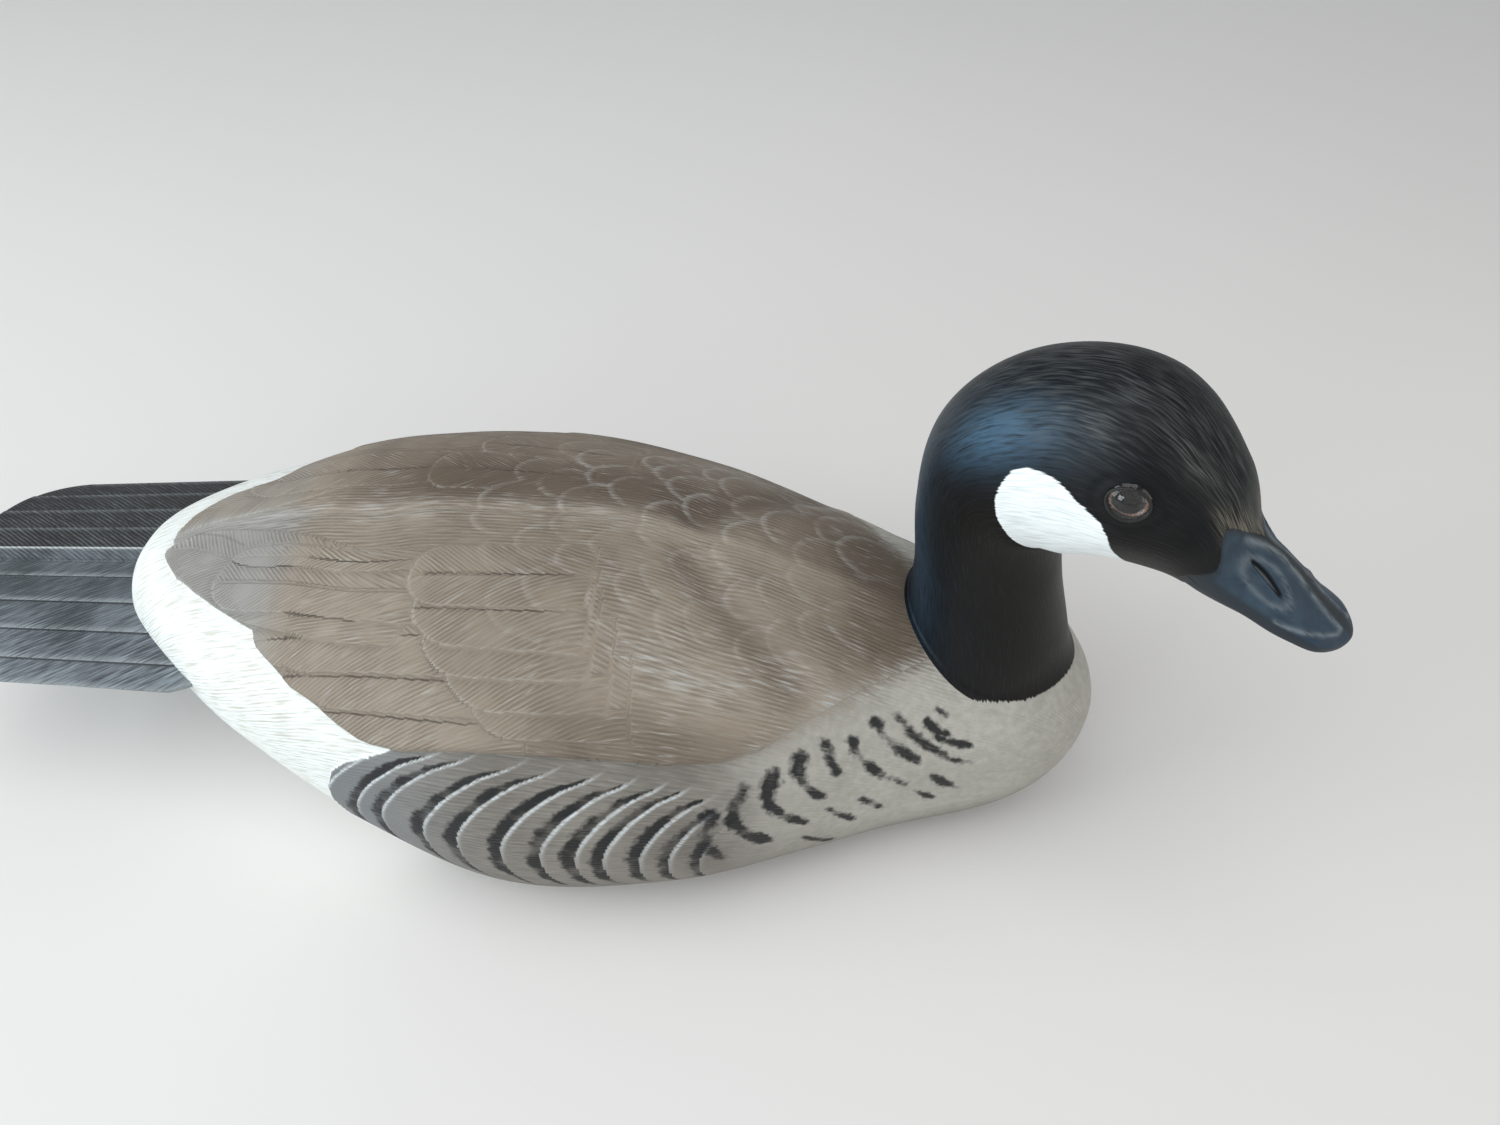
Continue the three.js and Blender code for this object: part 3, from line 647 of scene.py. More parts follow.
class Carving:
    """Height of the carved feathers over the body, with what the paint needs of each feather."""

    def __init__(self, x, out):
        self.x = x
        self.out = out
        self.laid = 0
        self.height, self.owner, self.rim, self.shaft, self.groove = np.zeros((5, *out.shape))
        self.across = out.copy()
        self.middle = np.full(out.shape, NO_SHAFT)
        self.edge = np.full(out.shape, FAR_OFF)

    def lay(self, side, feather, style, is_small=False):
        """Lays one feather over those before it. side is +1 on the bird's left."""
        self.laid += 1
        tip_x, tip_out, heading, length = feather[:4]
        bend, shaft = feather[8:]
        lift, rim, rim_width, cut, shade, softness = style
        first, last = np.searchsorted(self.x[:, 0], (tip_x - FEATHER_MARGIN, tip_x + length))
        rows = slice(first, last)
        out = side * self.out[rows]
        sine, cosine = math.sin(math.radians(heading)), math.cos(math.radians(heading))
        dx, dy = self.x[rows] - tip_x, out - tip_out
        s = dx * cosine + dy * sine
        m = dy * cosine - dx * sine - bend * (np.clip(s, 0, None) / length) ** 3
        edge, end_part, side_part = feather_reach(s, m, feather)
        fade = ((out >= 0) & (s < length)) * fall(length - FEATHER_FADE, length, s)
        cover = smooth_step(0, softness, edge) * fade
        camber = FEATHER_CAMBER * (1 - np.clip(side_part, 0, 1) ** 2)
        top = lift * (FEATHER_LEVEL - s / length) + camber + SHAFT_RISE * shaft * bell(m, SHAFT_WIDTH)

        beyond = np.maximum(-edge, 0)
        is_beyond = (edge <= 0) * fade
        # The cut's dark burned line beside the edge, and a painted shadow fading out from under the
        # edge over the feathers below; the groove field keeps both.
        beside = cut * bell(beyond, CUT_SHADE_WIDTH) * smooth_step(-1, 3, m) * fall(0.5, 1, end_part)
        shadow = shade * np.exp(-beyond / SHADE_REACH)
        height = self.height[rows] - CUT_DEPTH * cut * bell(beyond, CUT_WIDTH) * is_beyond
        self.height[rows] = height + (top - height) * cover
        groove = np.maximum(self.groove[rows] * (1 - cover), (beside + shadow) * is_beyond)
        self.groove[rows] = np.minimum(groove, 1)

        at_end = smooth_step(0, 0.55, end_part)
        fields = [
            (self.edge, edge / rim_width),
            (self.rim, rim * fade * (0.55 + 0.45 * at_end)),
            (self.shaft, shaft * fade * smooth_step(0.5, 5, s)),
        ]
        if not is_small:
            t = np.clip(s / length, 0, 1)
            opening = math.tan(BARB_TURN) * length * (2 / 3 - t + t**3 / 3)
            base = out if shaft < 1 and abs(heading) < FLOWING_HEADING else m
            fields += [
                (self.across, base - np.sign(m) * opening),
                (self.middle, np.abs(m)),
                (self.owner, self.laid),
            ]
        on = (edge > 0.04) & (fade > 0.5)
        for field, value in fields:
            field[rows] = np.where(on, value, field[rows])

    def seams(self):
        """1 where a place's neighbours lie on another feather or across its shaft, else 0."""
        part = 2 * self.owner + (self.middle > 0) * np.sign(self.across)
        seam = np.zeros(part.shape, bool)
        for after, before in ((np.s_[1:], np.s_[:-1]), (np.s_[:, 1:], np.s_[:, :-1])):
            differs = part[after] != part[before]
            seam[after] |= differs
            seam[before] |= differs
        return seam


def scallop_feathers(width):
    """Rows of small feathers over one side's fore wing, the front rows on top."""
    chance = np.random.default_rng(SCALLOP_SEED)
    along_spread, out_spread, heading_spread = SCALLOP_SPREAD
    feathers = []
    for number, row_x in enumerate(np.arange(*SCALLOP_ROWS)):
        reach = 38 - 14 * smooth_step(20, 66, row_x)
        for out in np.arange(4 + width * (number % 2), reach, SCALLOP_SPACING * width)[::-1]:
            tip_x = row_x + SCALLOP_ROW_BEND * out**2 + chance.normal(0, along_spread)
            tip_out = out + chance.normal(0, out_spread)
            heading = chance.normal(4, heading_spread)
            feathers.append((tip_x, tip_out, heading, SCALLOP_LENGTH, width, width, *SCALLOP_END))
    return feathers


def softened(field):
    """A field averaged with its neighbours, so that feather edges don't step from row to row."""
    for _ in range(2):
        wide = np.pad(field, ((1, 1), (0, 0)), mode="edge")
        field = ((wide[:-2] + 2 * field + wide[2:]) / 4).T
    return field


def carve_wings(carving):
    """Lays every wing feather, and softens the steps that they leave in the grid."""
    for side, tertials, covert in ((1, LEFT_TERTIALS, LEFT_COVERT),
                                   (-1, RIGHT_TERTIALS, RIGHT_COVERT)):
        for feathers, style in ((LONG_FEATHERS, LONG_STYLE), (tertials, TERTIAL_STYLE),
                                (COVERTS + (covert,), COVERT_STYLE)):
            for feather in feathers:
                carving.lay(side, feather, style)
        width, strength = SCALLOP_SIDES[side]
        lift, rim, rim_width, cut, shade, softness = SCALLOP_STYLE
        style = (lift * strength, rim * strength, rim_width, cut, shade * strength, softness)
        for feather in scallop_feathers(width):
            carving.lay(side, feather, style, is_small=True)
    carving.height = softened(carving.height)
    carving.groove = softened(softened(carving.groove))
    carving.rim = softened(carving.rim)


def flank_lines(x, out):
    """How far each place is ahead of the flank feather's edge behind it, and from the next."""
    shifted = x - smooth_line(FLANK_SWEEP, out) * smooth_line(FLANK_SLANT, x)
    edges = np.asarray((-400,) + FLANK_EDGES + (400,), float)
    index = np.clip(np.searchsorted(edges, shifted, side="right") - 1, 0, len(edges) - 2)
    return shifted - edges[index], edges[index + 1] - shifted


def body_grid():
    """Rows along the body and signed arc lengths over it, left belly to right belly."""
    fine = np.linspace(0, 1, FINE_ALONG)
    x = RUMP_END + (BREAST_END - RUMP_END) * (0.5 - 0.5 * np.cos(np.pi * fine))
    top = body_surface(x, np.full_like(x, np.pi / 2))
    side = body_surface(x, np.zeros_like(x))
    step = np.hypot(np.linalg.norm(np.diff(top, axis=0), axis=1), np.diff(side[:, 1]))
    travelled = np.concatenate([[0], np.cumsum(step)])
    rows = np.interp(np.linspace(0, travelled[-1], BODY_ROWS), travelled, x)
    half_angle = np.linspace(np.pi / 2, -np.pi / 2, FINE_ROUND)
    outline = body_surface(rows[:, None], half_angle[None, :])
    arc = run_lengths(outline, 1)
    whole = arc[:, -1]
    is_flat = outline[..., 2] <= 1e-6
    flat_start = np.where(is_flat.any(axis=1), np.argmax(is_flat, axis=1), arc.shape[1] - 1)
    corner = np.minimum(arc[np.arange(BODY_ROWS), flat_start], whole * 0.94)
    upper = np.linspace(0, 1, BACK_COLUMNS + FLANK_COLUMNS + 1)
    lower = np.linspace(0, 1, BELLY_COLUMNS + 1)[1:]
    half = np.concatenate([
        corner[:, None] * upper, corner[:, None] + (whole - corner)[:, None] * lower
    ], axis=1)
    place = np.empty(half.shape + (3,))
    for row in range(BODY_ROWS):
        for axis in range(3):
            place[row, :, axis] = np.interp(half[row], arc[row], outline[row, :, axis])
    points = np.concatenate([place[:, :0:-1], place * (1, -1, 1)], axis=1)
    signed = np.concatenate([half[:, :0:-1], -half], axis=1)
    return rows[:, None], signed, points


def wing_distance(x, out):
    """Distance inside the folded wing's outline."""
    right = inside_distance(x, np.abs(out), RIGHT_WING_REAR + WING_FRONT)
    left = inside_distance(x, np.abs(out), LEFT_WING_REAR + WING_FRONT)
    return np.where(out > 0, left, right)


def soft_form(distance, form):
    height, reach = form
    return height * bell(distance, reach)


def wing_relief(x, away, carved):
    """Height of the folded wing: its lifted rear, the shoulder, and the line where wings meet."""
    rear_lift = (REAR_LIFT[0] + REAR_LIFT[1] * smooth_step(12, 56, away)) * fall(-12, 62, x)
    front_lift = FRONT_LIFT * fall(40, 78, x)
    shoulder = soft_form(line_distance(x, away, SHOULDER_RIDGE), SHOULDER_FORM)
    trough = soft_form(line_distance(x, away, SHOULDER_TROUGH), TROUGH_FORM)
    meeting = soft_form(away, MEETING_FORM) * fall(-20, 40, x)
    spine = soft_form(away, SPINE_FORM) * smooth_step(-30, 10, x) * fall(60, 92, x)
    carved = carved * fall(48, 86, x)
    return carved + rear_lift + front_lift + shoulder + trough + meeting + spine


def flank_relief(x, away, wing, behind, ahead):
    """Height of the flank: feather edges stepping down rearwards, below the wing's groove."""
    lines = smooth_step(70, 75, away) * fall(95, 118, away)
    lines = lines * fall(34, 62, x)
    sawtooth = FLANK_EDGE_RISE * np.exp(-behind / 5.5) - FLANK_EDGE_DIP * np.exp(-ahead / 3)
    groove = -WING_GROOVE_DEPTH * np.exp(np.minimum(wing, 0) / 3.2) * fall(40, 78, x)
    plump = FLANK_PLUMPNESS * smooth_step(0, 10, -wing) * fall(100, 135, away)
    return sawtooth * lines + groove + plump * fall(30, 95, x)


def rump_relief(wing):
    groove = RUMP_GROOVE_DEPTH * np.exp(np.minimum(wing, 0) / 3)
    return -RUMP_DROP - groove + RUMP_DROP * smooth_step(0, 14, -wing)


def dark_bars(x, away, wing, ahead, is_feathered):
    """Distance inside the black bars of the flank and breast."""
    width = FLANK_BAR_WIDTH - FLANK_BAR_NARROWING * smooth_step(-10, 40, x)
    reach = width * smooth_step(70, 78, away) * fall(110, 128, away)
    bars = reach - ahead - 2 * fall(70, 76, away)
    bars = np.where(is_feathered & (x < FLANK_BAR_END), bars, -FAR_OFF)
    bars = np.where(wing > -1.5, -FAR_OFF, bars)
    near_breast = (x > 30) & (away > 25) & (away < 104)
    for line, half_width in BREAST_BARS:
        dash = half_width - line_distance(x, away, line)
        bars = np.maximum(bars, np.where(near_breast, dash, -FAR_OFF))
    return np.clip(bars, -FAR_OFF, FAR_OFF)


def wing_tone_and_painted_light(x, out):
    """Tone of the wing's paint, -1 dark brown, 0 plain, 1 pale and bluish: painted shade on the far
    side, in the shoulder's trough and where the neck meets the back, a browner mantle that is partly
    the painted shade of the hollow where the wings meet, darker paint at the lower front, and a
    painted pale bluish sheen over the rear.
    """
    away = np.abs(out)
    far = smooth_step(0, 5, out)
    mantle = bell(away - 15, 11) * smooth_step(-75, -45, x) * fall(15, 40, x)
    trough = bell(line_distance(x, away, SHOULDER_TROUGH), 7)
    lower_front = smooth_step(48, 60, away) * smooth_step(-20, 5, x)
    rear = smooth_step(-72, -98, x)
    by_neck = bell(x - 92, 28) * fall(14, 44, away)
    brown_and_shade = (0.3 + 0.35 * far) * mantle + 0.45 * trough + 0.5 * lower_front + 0.4 * far
    return 0.8 * rear - brown_and_shade - 0.95 * by_neck


def body_fields(carving, wing, flank, behind, ahead):
    """What the body's paint reads: places on feathers, paint borders and tones."""
    x, out = carving.x, carving.out
    away = np.abs(out)
    off_wing = wing < 0
    is_feathered = behind + ahead < FLANK_WIDEST
    white = np.where(x > -40, -FAR_OFF, np.minimum(-wing, -flank))
    bars = dark_bars(x, away, wing, ahead, is_feathered)
    line = bell(behind - 0.5, 0.6) * smooth_step(-0.5, 0.6, flank) * is_feathered * off_wing
    line = line * smooth_step(70, 76, away) * fall(86, 112, away)
    line = line * fall(30, 42, x)
    worn = 0.9 * bell(line_distance(x, away, WORN_PATCHES), 5)
    band = 0.8 * bell(away - 1.5, 3) * fall(-10, 35, x)
    arc_line = 0.8 * bell(line_distance(x, away, BURNED_ARC), 0.4) * (out < 0)
    wing_paint = wing / (1 + 12 * smooth_step(35, 75, x))

    def by_wing(below, above):
        return np.where(off_wing, below, above)

    return {
        "feather": stack_fields(
            by_wing(away, carving.across), carving.seams() | (np.abs(wing) < 0.5),
            by_wing(NO_SHAFT, carving.middle)),
        "edge": stack_fields(
            by_wing(FAR_OFF, carving.edge), by_wing(0, carving.rim), by_wing(0, carving.shaft)),
        "paint": stack_fields(
            np.clip(white, -FAR_OFF, FAR_OFF), bars, np.clip(wing_paint, -FAR_OFF, FAR_OFF)),
        # Tones: burned cuts with the painted shadow under feather edges, pale lines and worn places,
        # and the wing's painted shade and sheen.
        "tone": stack_fields(
            by_wing(0, np.maximum(carving.groove, arc_line)),
            by_wing(line, np.clip(worn + band, 0, 1)), wing_tone_and_painted_light(x, out)),
    }


def carve_body():
    """The carved body surface, its normals and the fields that its paint reads."""
    x, arc, base = body_grid()
    out = arc - smooth_line(MEETING_LINE, x) * fall(*MEETING_FADE, np.abs(arc))
    away = np.abs(out)
    carving = Carving(x, out)
    carve_wings(carving)
    wing = wing_distance(x, out)
    flank = inside_distance(x, away, FLANK_OUTLINE)
    behind, ahead = flank_lines(x, away)
    on_flank = smooth_step(-0.5, 0.6, flank)
    softness = 0.5 + 1.5 * smooth_step(-92, -62, x)
    on_wing = smooth_step(-softness, softness, wing)

    under = flank_relief(x, away, wing, behind, ahead) * on_flank + rump_relief(wing) * (1 - on_flank)
    height = under + (wing_relief(x, away, carving.height) - under) * on_wing
    height = height * smooth_step(0, 4, base[..., 2]) * fall(78, 96, x)
    points = base + outward_normals(base, BODY_INSIDE) * height[..., None]
    points[..., 2] = np.maximum(points[..., 2], 0)
    fields = body_fields(carving, wing, flank, behind, ahead)
    return points, outward_normals(points, BODY_INSIDE), fields


def split_body():
    """The body's skin in four pieces: both halves of the back and both flanks."""
    points, normals, fields = carve_body()
    rows, columns = points.shape[:2]
    middle = columns // 2
    bounds = (0, middle - BACK_COLUMNS, middle, middle + BACK_COLUMNS, columns - 1)
    names = ("skin_flank_left", "skin_back_left", "skin_back_right", "skin_flank_right")
    pieces = {}
    for name, first, last in zip(names, bounds[:-1], bounds[1:]):
        part = slice(first, last + 1)
        count = last - first + 1
        faces = quads_of(rows, count)
        final = (rows - 1) * count
        faces = np.where(faces < count, 0, np.where(faces >= final, final, faces))
        inner = faces[count - 1:1 - count]
        start_fan = faces[:count - 1][:, :3]
        end_fan = faces[1 - count:][:, (0, 1, 3)]
        attributes = {title: value[:, part] for title, value in fields.items()}
        pieces[name] = make_mesh(
            name, points[:, part], [inner, start_fan, end_fan], grid_uv(rows, count), attributes,
            normals[:, part],
        )
    return pieces


def eye_place(side):
    """An eye's centre on the head's skin, its directions, and the middle of the dome's rim."""
    angle = side * math.radians(EYE_ANGLE)
    centre = head_point(EYE_STATION, angle)
    forward = head_point(EYE_STATION + EYE_PATCH_ALONG, angle) - head_point(
        EYE_STATION - EYE_PATCH_ALONG, angle)
    around = head_point(EYE_STATION, angle + EYE_PATCH_AROUND) - head_point(
        EYE_STATION, angle - EYE_PATCH_AROUND)
    outwards = unit(np.cross(forward, around) * -side)
    inside = (head_point(EYE_STATION, 0.0) + head_point(EYE_STATION, math.pi)) / 2
    outwards *= np.sign(np.dot(outwards, centre - inside))
    forward = unit(forward)
    upwards = np.cross(outwards, forward)
    upwards *= np.sign(upwards[2])
    tilt = math.radians(EYE_TILT)
    long_axis = forward * math.cos(tilt) + upwards * math.sin(tilt)
    short_axis = upwards * math.cos(tilt) - forward * math.sin(tilt)
    return centre, outwards, long_axis, short_axis, centre + outwards * (EYE_PROUD - DOME_HEIGHT)


def neck_meeting(angle):
    """The station at which the neck leaves the body, for each angle."""
    low = np.zeros_like(angle)
    high = np.full_like(angle, NECK_MEETING_LIMIT)
    for _ in range(NECK_MEETING_STEPS):
        middle = (low + high) / 2
        place = head_point(middle, angle)
        is_below = place[..., 2] < body_top(place[..., 0], place[..., 1])
        low = np.where(is_below, middle, low)
        high = np.where(is_below, high, middle)
    return low


def neck_foot(angle, meeting, degrees):
    """Rows of the fillet between body and neck, and the stations at which the neck goes on."""
    frontward = smooth_step(90, 150, degrees)
    reach = NECK_FOOT_REACH[0] + (NECK_FOOT_REACH[1] - NECK_FOOT_REACH[0]) * frontward
    rise = NECK_FOOT_RISE[0] + (NECK_FOOT_RISE[1] - NECK_FOOT_RISE[0]) * frontward
    corner = head_point(meeting, angle)
    rise_station = meeting + rise / NECK_STATION_LENGTH
    start = head_point(rise_station, angle)
    outward = unit(corner[:, :2] - (TURN_AXIS_X, 0))

    distance = np.linspace(0, 1, NECK_FOOT_FINE)[:, None] * (reach + NECK_FOOT_LIP)
    flat = corner[:, :2] + outward * distance[..., None]
    slope = np.dstack([flat, body_top(flat[..., 0], flat[..., 1])])
    travelled = run_lengths(slope, 0)

    def on_body(length, sink):
        row = np.argmax(travelled >= np.minimum(length, travelled[-1]), axis=0)
        return slope[row, np.arange(len(angle))] - (0, 0, sink)

    rows = [on_body(reach + NECK_FOOT_LIP, NECK_FOOT_SINK), on_body(reach + 0.15, 0.02)]
    for part in np.linspace(0, 1, NECK_FOOT_ROWS, endpoint=False):
        rows.append(on_body(reach * (1 - part) ** 2, -0.03) + (start - corner) * part**2)
    return rows, rise_station


def foot_normals(points, normals):
    """Normals that start as the body's where the neck's foot lies on it."""
    x, y = points[..., 0], points[..., 1]
    step = 0.5
    rise_x = (body_top(x + step, y) - body_top(x - step, y)) / (2 * step)
    rise_y = (body_top(x, y + step) - body_top(x, y - step)) / (2 * step)
    body = unit(stack_fields(-rise_x, -rise_y, 1))
    own = smooth_step(2, NECK_FOOT_ROWS, np.arange(len(points)))[:, None, None]
    return unit(body * (1 - own) + normals * own)


def face_relief(base, station, degrees):
    """Soft muscles of the face, and the eyes' openings and lids."""
    height = sum(
        rise * bell(station - along, reach) * bell(degrees - turn, spread)
        for along, turn, reach, spread, rise in FACE_MUSCLES
    )
    for side in (1, -1):
        centre, outwards, long_axis, short_axis, _ = eye_place(side)
        offset = base - centre
        reach = np.hypot(offset @ long_axis / EYE_OPENING[0], offset @ short_axis / EYE_OPENING[1])
        hollow = soft_form(reach - LID_HOLLOW_REACH, LID_HOLLOW_FORM)
        socket = -SOCKET_DEPTH * fall(*SOCKET_EDGE, reach)
        is_this_side = offset @ outwards > -EYE_SIDE_DEPTH
        height = height + is_this_side * (hollow + socket)
    return height


def soft_patches(station, degrees, patches):
    return np.maximum.reduce([
        strength * bell(station - along, reach) * bell(degrees - turn, spread)
        for along, turn, reach, spread, strength in patches
    ])


def head_fields(station, degrees, left, travelled):
    """What the head's paint reads: places for the brush, paint borders, and tones that carry the
    painted sheen.
    """
    to_bill = travelled[-1] - travelled
    from_meeting = travelled - travelled[BLACK_EDGE_ROW]
    cheek = inside_distance(
        station * STATION_LENGTH, degrees * DEGREE_LENGTH,
        tuple((along * STATION_LENGTH, turn * DEGREE_LENGTH) for along, turn in CHEEK_PATCH))
    crown = smooth_step(*CROWN_STARTS, station)
    crown = crown * fall(*CROWN_SPREAD, degrees - CROWN_LEFT_DROP * left)
    # Half-strength crown strokes, raised to patches of painted grey sheen; then patches of painted
    # blue sheen.
    crown = np.maximum(0.5 * crown, soft_patches(station, degrees, HEAD_GREY_SHEEN))
    sheen = soft_patches(station, degrees, HEAD_BLUE_SHEEN)
    fringe = smooth_step(*FRINGE_STARTS, station) * fall(*FRINGE_SPREAD, degrees)
    return {
        "feather": stack_fields(np.radians(degrees) * HEAD_MEAN_RADIUS, travelled, degrees),
        "paint": stack_fields(
            np.clip(from_meeting - smooth_line(BLACK_EDGE, degrees), -FAR_OFF, FAR_OFF),
            np.clip(cheek, -FAR_OFF, FAR_OFF), np.clip(to_bill, 0, 2 * FAR_OFF)),
        "tone": stack_fields(crown, sheen, fringe),
    }


def head_skin():
    """One closed skin over neck and head, from its foot on the body to the bill's base."""
    angle = np.arange(HEAD_COLUMNS) / HEAD_COLUMNS * 2 * np.pi
    ring_degrees = degrees_from_crown(angle)
    meeting = neck_meeting(angle)
    rows, rise_station = neck_foot(angle, meeting, ring_degrees)
    stations = [rise_station] * len(rows)
    edge = feather_edge(angle)
    for part in np.linspace(0, 1, HEAD_ROWS):
        stations.append(rise_station + (edge - rise_station) * part)
        rows.append(head_point(stations[-1], angle))
    base = np.stack(rows)
    station = np.stack(stations)
    degrees = np.broadcast_to(ring_degrees, station.shape)
    travelled = run_lengths(base, 0)
    feathers_end = FEATHER_STEP * smooth_step(0, 0.8, travelled[-1] - travelled)
    height = face_relief(base, station, degrees) + feathers_end
    normals = outward_normals(base, base.mean(axis=1, keepdims=True), closed=True)
    points = base + normals * height[..., None]
    tucked = (points[-1] + head_point(edge - 0.05, angle)) / 2
    points[-1] = tucked - normals[-1] * FEATHER_TUCK
    inside = points.mean(axis=1, keepdims=True)
    skin_normals = foot_normals(points, outward_normals(points, inside, closed=True))
    fields = head_fields(station, degrees, np.sin(angle), travelled)
    return closed_loft("skin_head", points, fields, skin_normals)


def tail_columns():
    """Each column across the tail: its part of the half width, rank, and place on its feather."""
    local = np.linspace(0.012, 0.988, TAIL_COLUMNS_PER_FEATHER)
    inner = (-TAIL_FEATHER_EDGES[0],) + TAIL_FEATHER_EDGES[:-1]
    part = [start + (end - start) * local for start, end in zip(inner, TAIL_FEATHER_EDGES)]
    part = np.concatenate([-value[::-1] for value in part[:0:-1]] + part)
    sides = len(TAIL_FEATHER_EDGES) - 1
    rank = np.abs(np.repeat(np.arange(-sides, sides + 1), len(local)))
    place = np.concatenate([local[::-1]] * sides + [local] * (sides + 1))
    return part, rank, place


def tail_shape(part, rank, place):
    """The tail's upper and lower faces row by row, the feathers' tips and their free edges."""
    rearward = np.linspace(0, 1, TAIL_ROWS)[:, None]
    corner = np.sqrt(1 - np.abs(part) ** TAIL_TIP_SQUARENESS)
    is_middle = rank == 0
    free = np.where(is_middle, np.abs(2 * place - 1), place)
    tip = TAIL_TIP_X + TAIL_TIP_ROUNDING * (1 - corner) + 0.5 * free**2 + TAIL_END_ROUNDING
    x = TAIL_ROOT_X + (tip - TAIL_ROOT_X) * rearward
    slope = (TAIL_TIP_Z - TAIL_ROOT_Z) / (TAIL_TIP_X - TAIL_ROOT_X)
    roof = TAIL_ROOT_Z + slope * (x - TAIL_ROOT_X) - TAIL_ROOF_DROP * part**2
    step = TAIL_MIDDLE_RISE - TAIL_FEATHER_STEP * rank
    tilt = TAIL_FEATHER_TILT * (free - 0.5) * ~is_middle
    shaft = TAIL_SHAFT_RISE * bell(2 * place - 1, 0.09) * is_middle
    top = roof + step + tilt + shaft
    thickness = TAIL_ROOT_THICKNESS + (TAIL_TIP_THICKNESS - TAIL_ROOT_THICKNESS) * rearward
    bottom = roof - thickness * (1 - TAIL_SIDE_THINNING * np.abs(part) ** TAIL_SIDE_SHARPNESS)
    opening = smooth_step(TAIL_ROOT_X, TAIL_WIDEST_X, x)
    rear = np.clip((x - TAIL_WIDEST_X) / (TAIL_TIP_X - TAIL_WIDEST_X), 0, 1)
    half_width = TAIL_ROOT_HALF_WIDTH + (TAIL_HALF_WIDTH - TAIL_ROOT_HALF_WIDTH) * opening
    half_width = half_width + (TAIL_TIP_HALF_WIDTH - TAIL_HALF_WIDTH) * rear
    y = part * half_width + TAIL_SWING * (x - TAIL_SWING_FROM_X)
    return np.stack([x, y, top], axis=-1), np.stack([x, y, bottom], axis=-1), tip, free


def rounded_end(ring, level):
    """Rings that close the tail's end in a quarter round."""
    rings = []
    for turn in np.linspace(0, np.pi / 2, TAIL_CLOSING_ROWS + 1)[1:]:
        closing = ring.copy()
        closing[:, 2] = level + (closing[:, 2] - level) * max(math.cos(turn), 0.02)
        closing[:, 0] -= TAIL_END_ROUNDING * math.sin(turn)
        rings.append(closing[None])
    return rings


def tail_piece():
    """Nine long feathers side by side, each lower than its neighbour nearer the middle."""
    part, rank, place = tail_columns()
    upper, lower, tip, free = tail_shape(part, rank, place)
    under = slice(None, None, -4)
    whole = np.concatenate([upper, lower[:, under]], axis=1)
    level = (upper[-1, :, 2] + lower[-1, :, 2]) / 2
    level = np.concatenate([level, level[under]])
    points = np.concatenate([whole] + rounded_end(whole[-1], level))

    x = upper[..., 0]
    is_middle = rank == 0
    edges = (-TAIL_FEATHER_EDGES[0],) + TAIL_FEATHER_EDGES
    width = np.diff(edges)[rank] * TAIL_HALF_WIDTH
    from_middle = np.abs(place - 0.5)
    off_line = np.where(is_middle, from_middle, place) * width
    sine, cosine = math.sin(TAIL_BARB_TURN), math.cos(TAIL_BARB_TURN)
    fields = {
        "feather": (x * sine + off_line * cosine, off_line * sine - x * cosine,
                    np.where(is_middle, np.sign(part) * from_middle * width, NO_SHAFT)),
        "edge": (np.minimum((1 - free) * width * np.where(is_middle, 0.5, 1), x - tip + 1.5),
                 np.where(is_middle, FAR_OFF, place * width), (part > TAIL_FEATHER_EDGES[0]) * 1.0),
    }

    def over_rings(values):
        values = np.broadcast_to(values, x.shape)
        whole = np.concatenate([values, values[:, under]], axis=1)
        return np.concatenate([whole, np.repeat(whole[-1:], TAIL_CLOSING_ROWS, axis=0)])

    return closed_loft("tail_feathers", points, {
        title: stack_fields(*(over_rings(values) for values in parts))
        for title, parts in fields.items()
    })


def oval_reach(u, w, ends, half_height):
    """How far out of an oval each place lies, 1 on its line, and how far across it."""
    (start_u, start_w), (end_u, end_w) = ends
    length = math.hypot(end_u - start_u, end_w - start_w)
    along_u, along_w = (end_u - start_u) / length, (end_w - start_w) / length
    du, dw = u - (start_u + end_u) / 2, w - (start_w + end_w) / 2
    along = du * along_u + dw * along_w
    across = dw * along_u - du * along_w
    return np.hypot(along / (length / 2), across / half_height), across


def on_bill(line):
    return tuple((at * BILL_STATION_LENGTH, turn * BILL_DEGREE_LENGTH) for at, turn in line)


def bill_relief(station, degrees):
    """Heights of the marks carved in the upper bill, and the paint masks that follow them."""
    u, w = station * BILL_STATION_LENGTH, degrees * BILL_DEGREE_LENGTH
    bowl, _ = oval_reach(u, w, on_bill(NOSTRIL_BOWL), NOSTRIL_BOWL_HALF_HEIGHT)
    slit, across = oval_reach(u, w, on_bill(NOSTRIL_SLIT), NOSTRIL_SLIT_HALF_HEIGHT)
    ridge = line_distance(u, w, on_bill(RIDGE_LINE))
    height = -NOSTRIL_BOWL_DEPTH * fall(0.3, 1.1, bowl) + NOSTRIL_BOWL_RIM * bell(bowl - 1.08, 0.2)
    height = height - NOSTRIL_SLIT_DEPTH * fall(0.6, 1, slit)
    height = height + NOSTRIL_SLIT_RIM * bell(slit - 1.3, 0.3) + BILL_RIDGE_RISE * bell(ridge, 0.8)
    rim = np.maximum(0.45 * bell(bowl - 1, 0.2), 0.8 * bell(ridge, 0.8))
    lip = bell(across - 0.25, 0.28) * fall(0.55, 0.8, slit)
    return height, rim, fall(0.85, 1.1, slit), lip


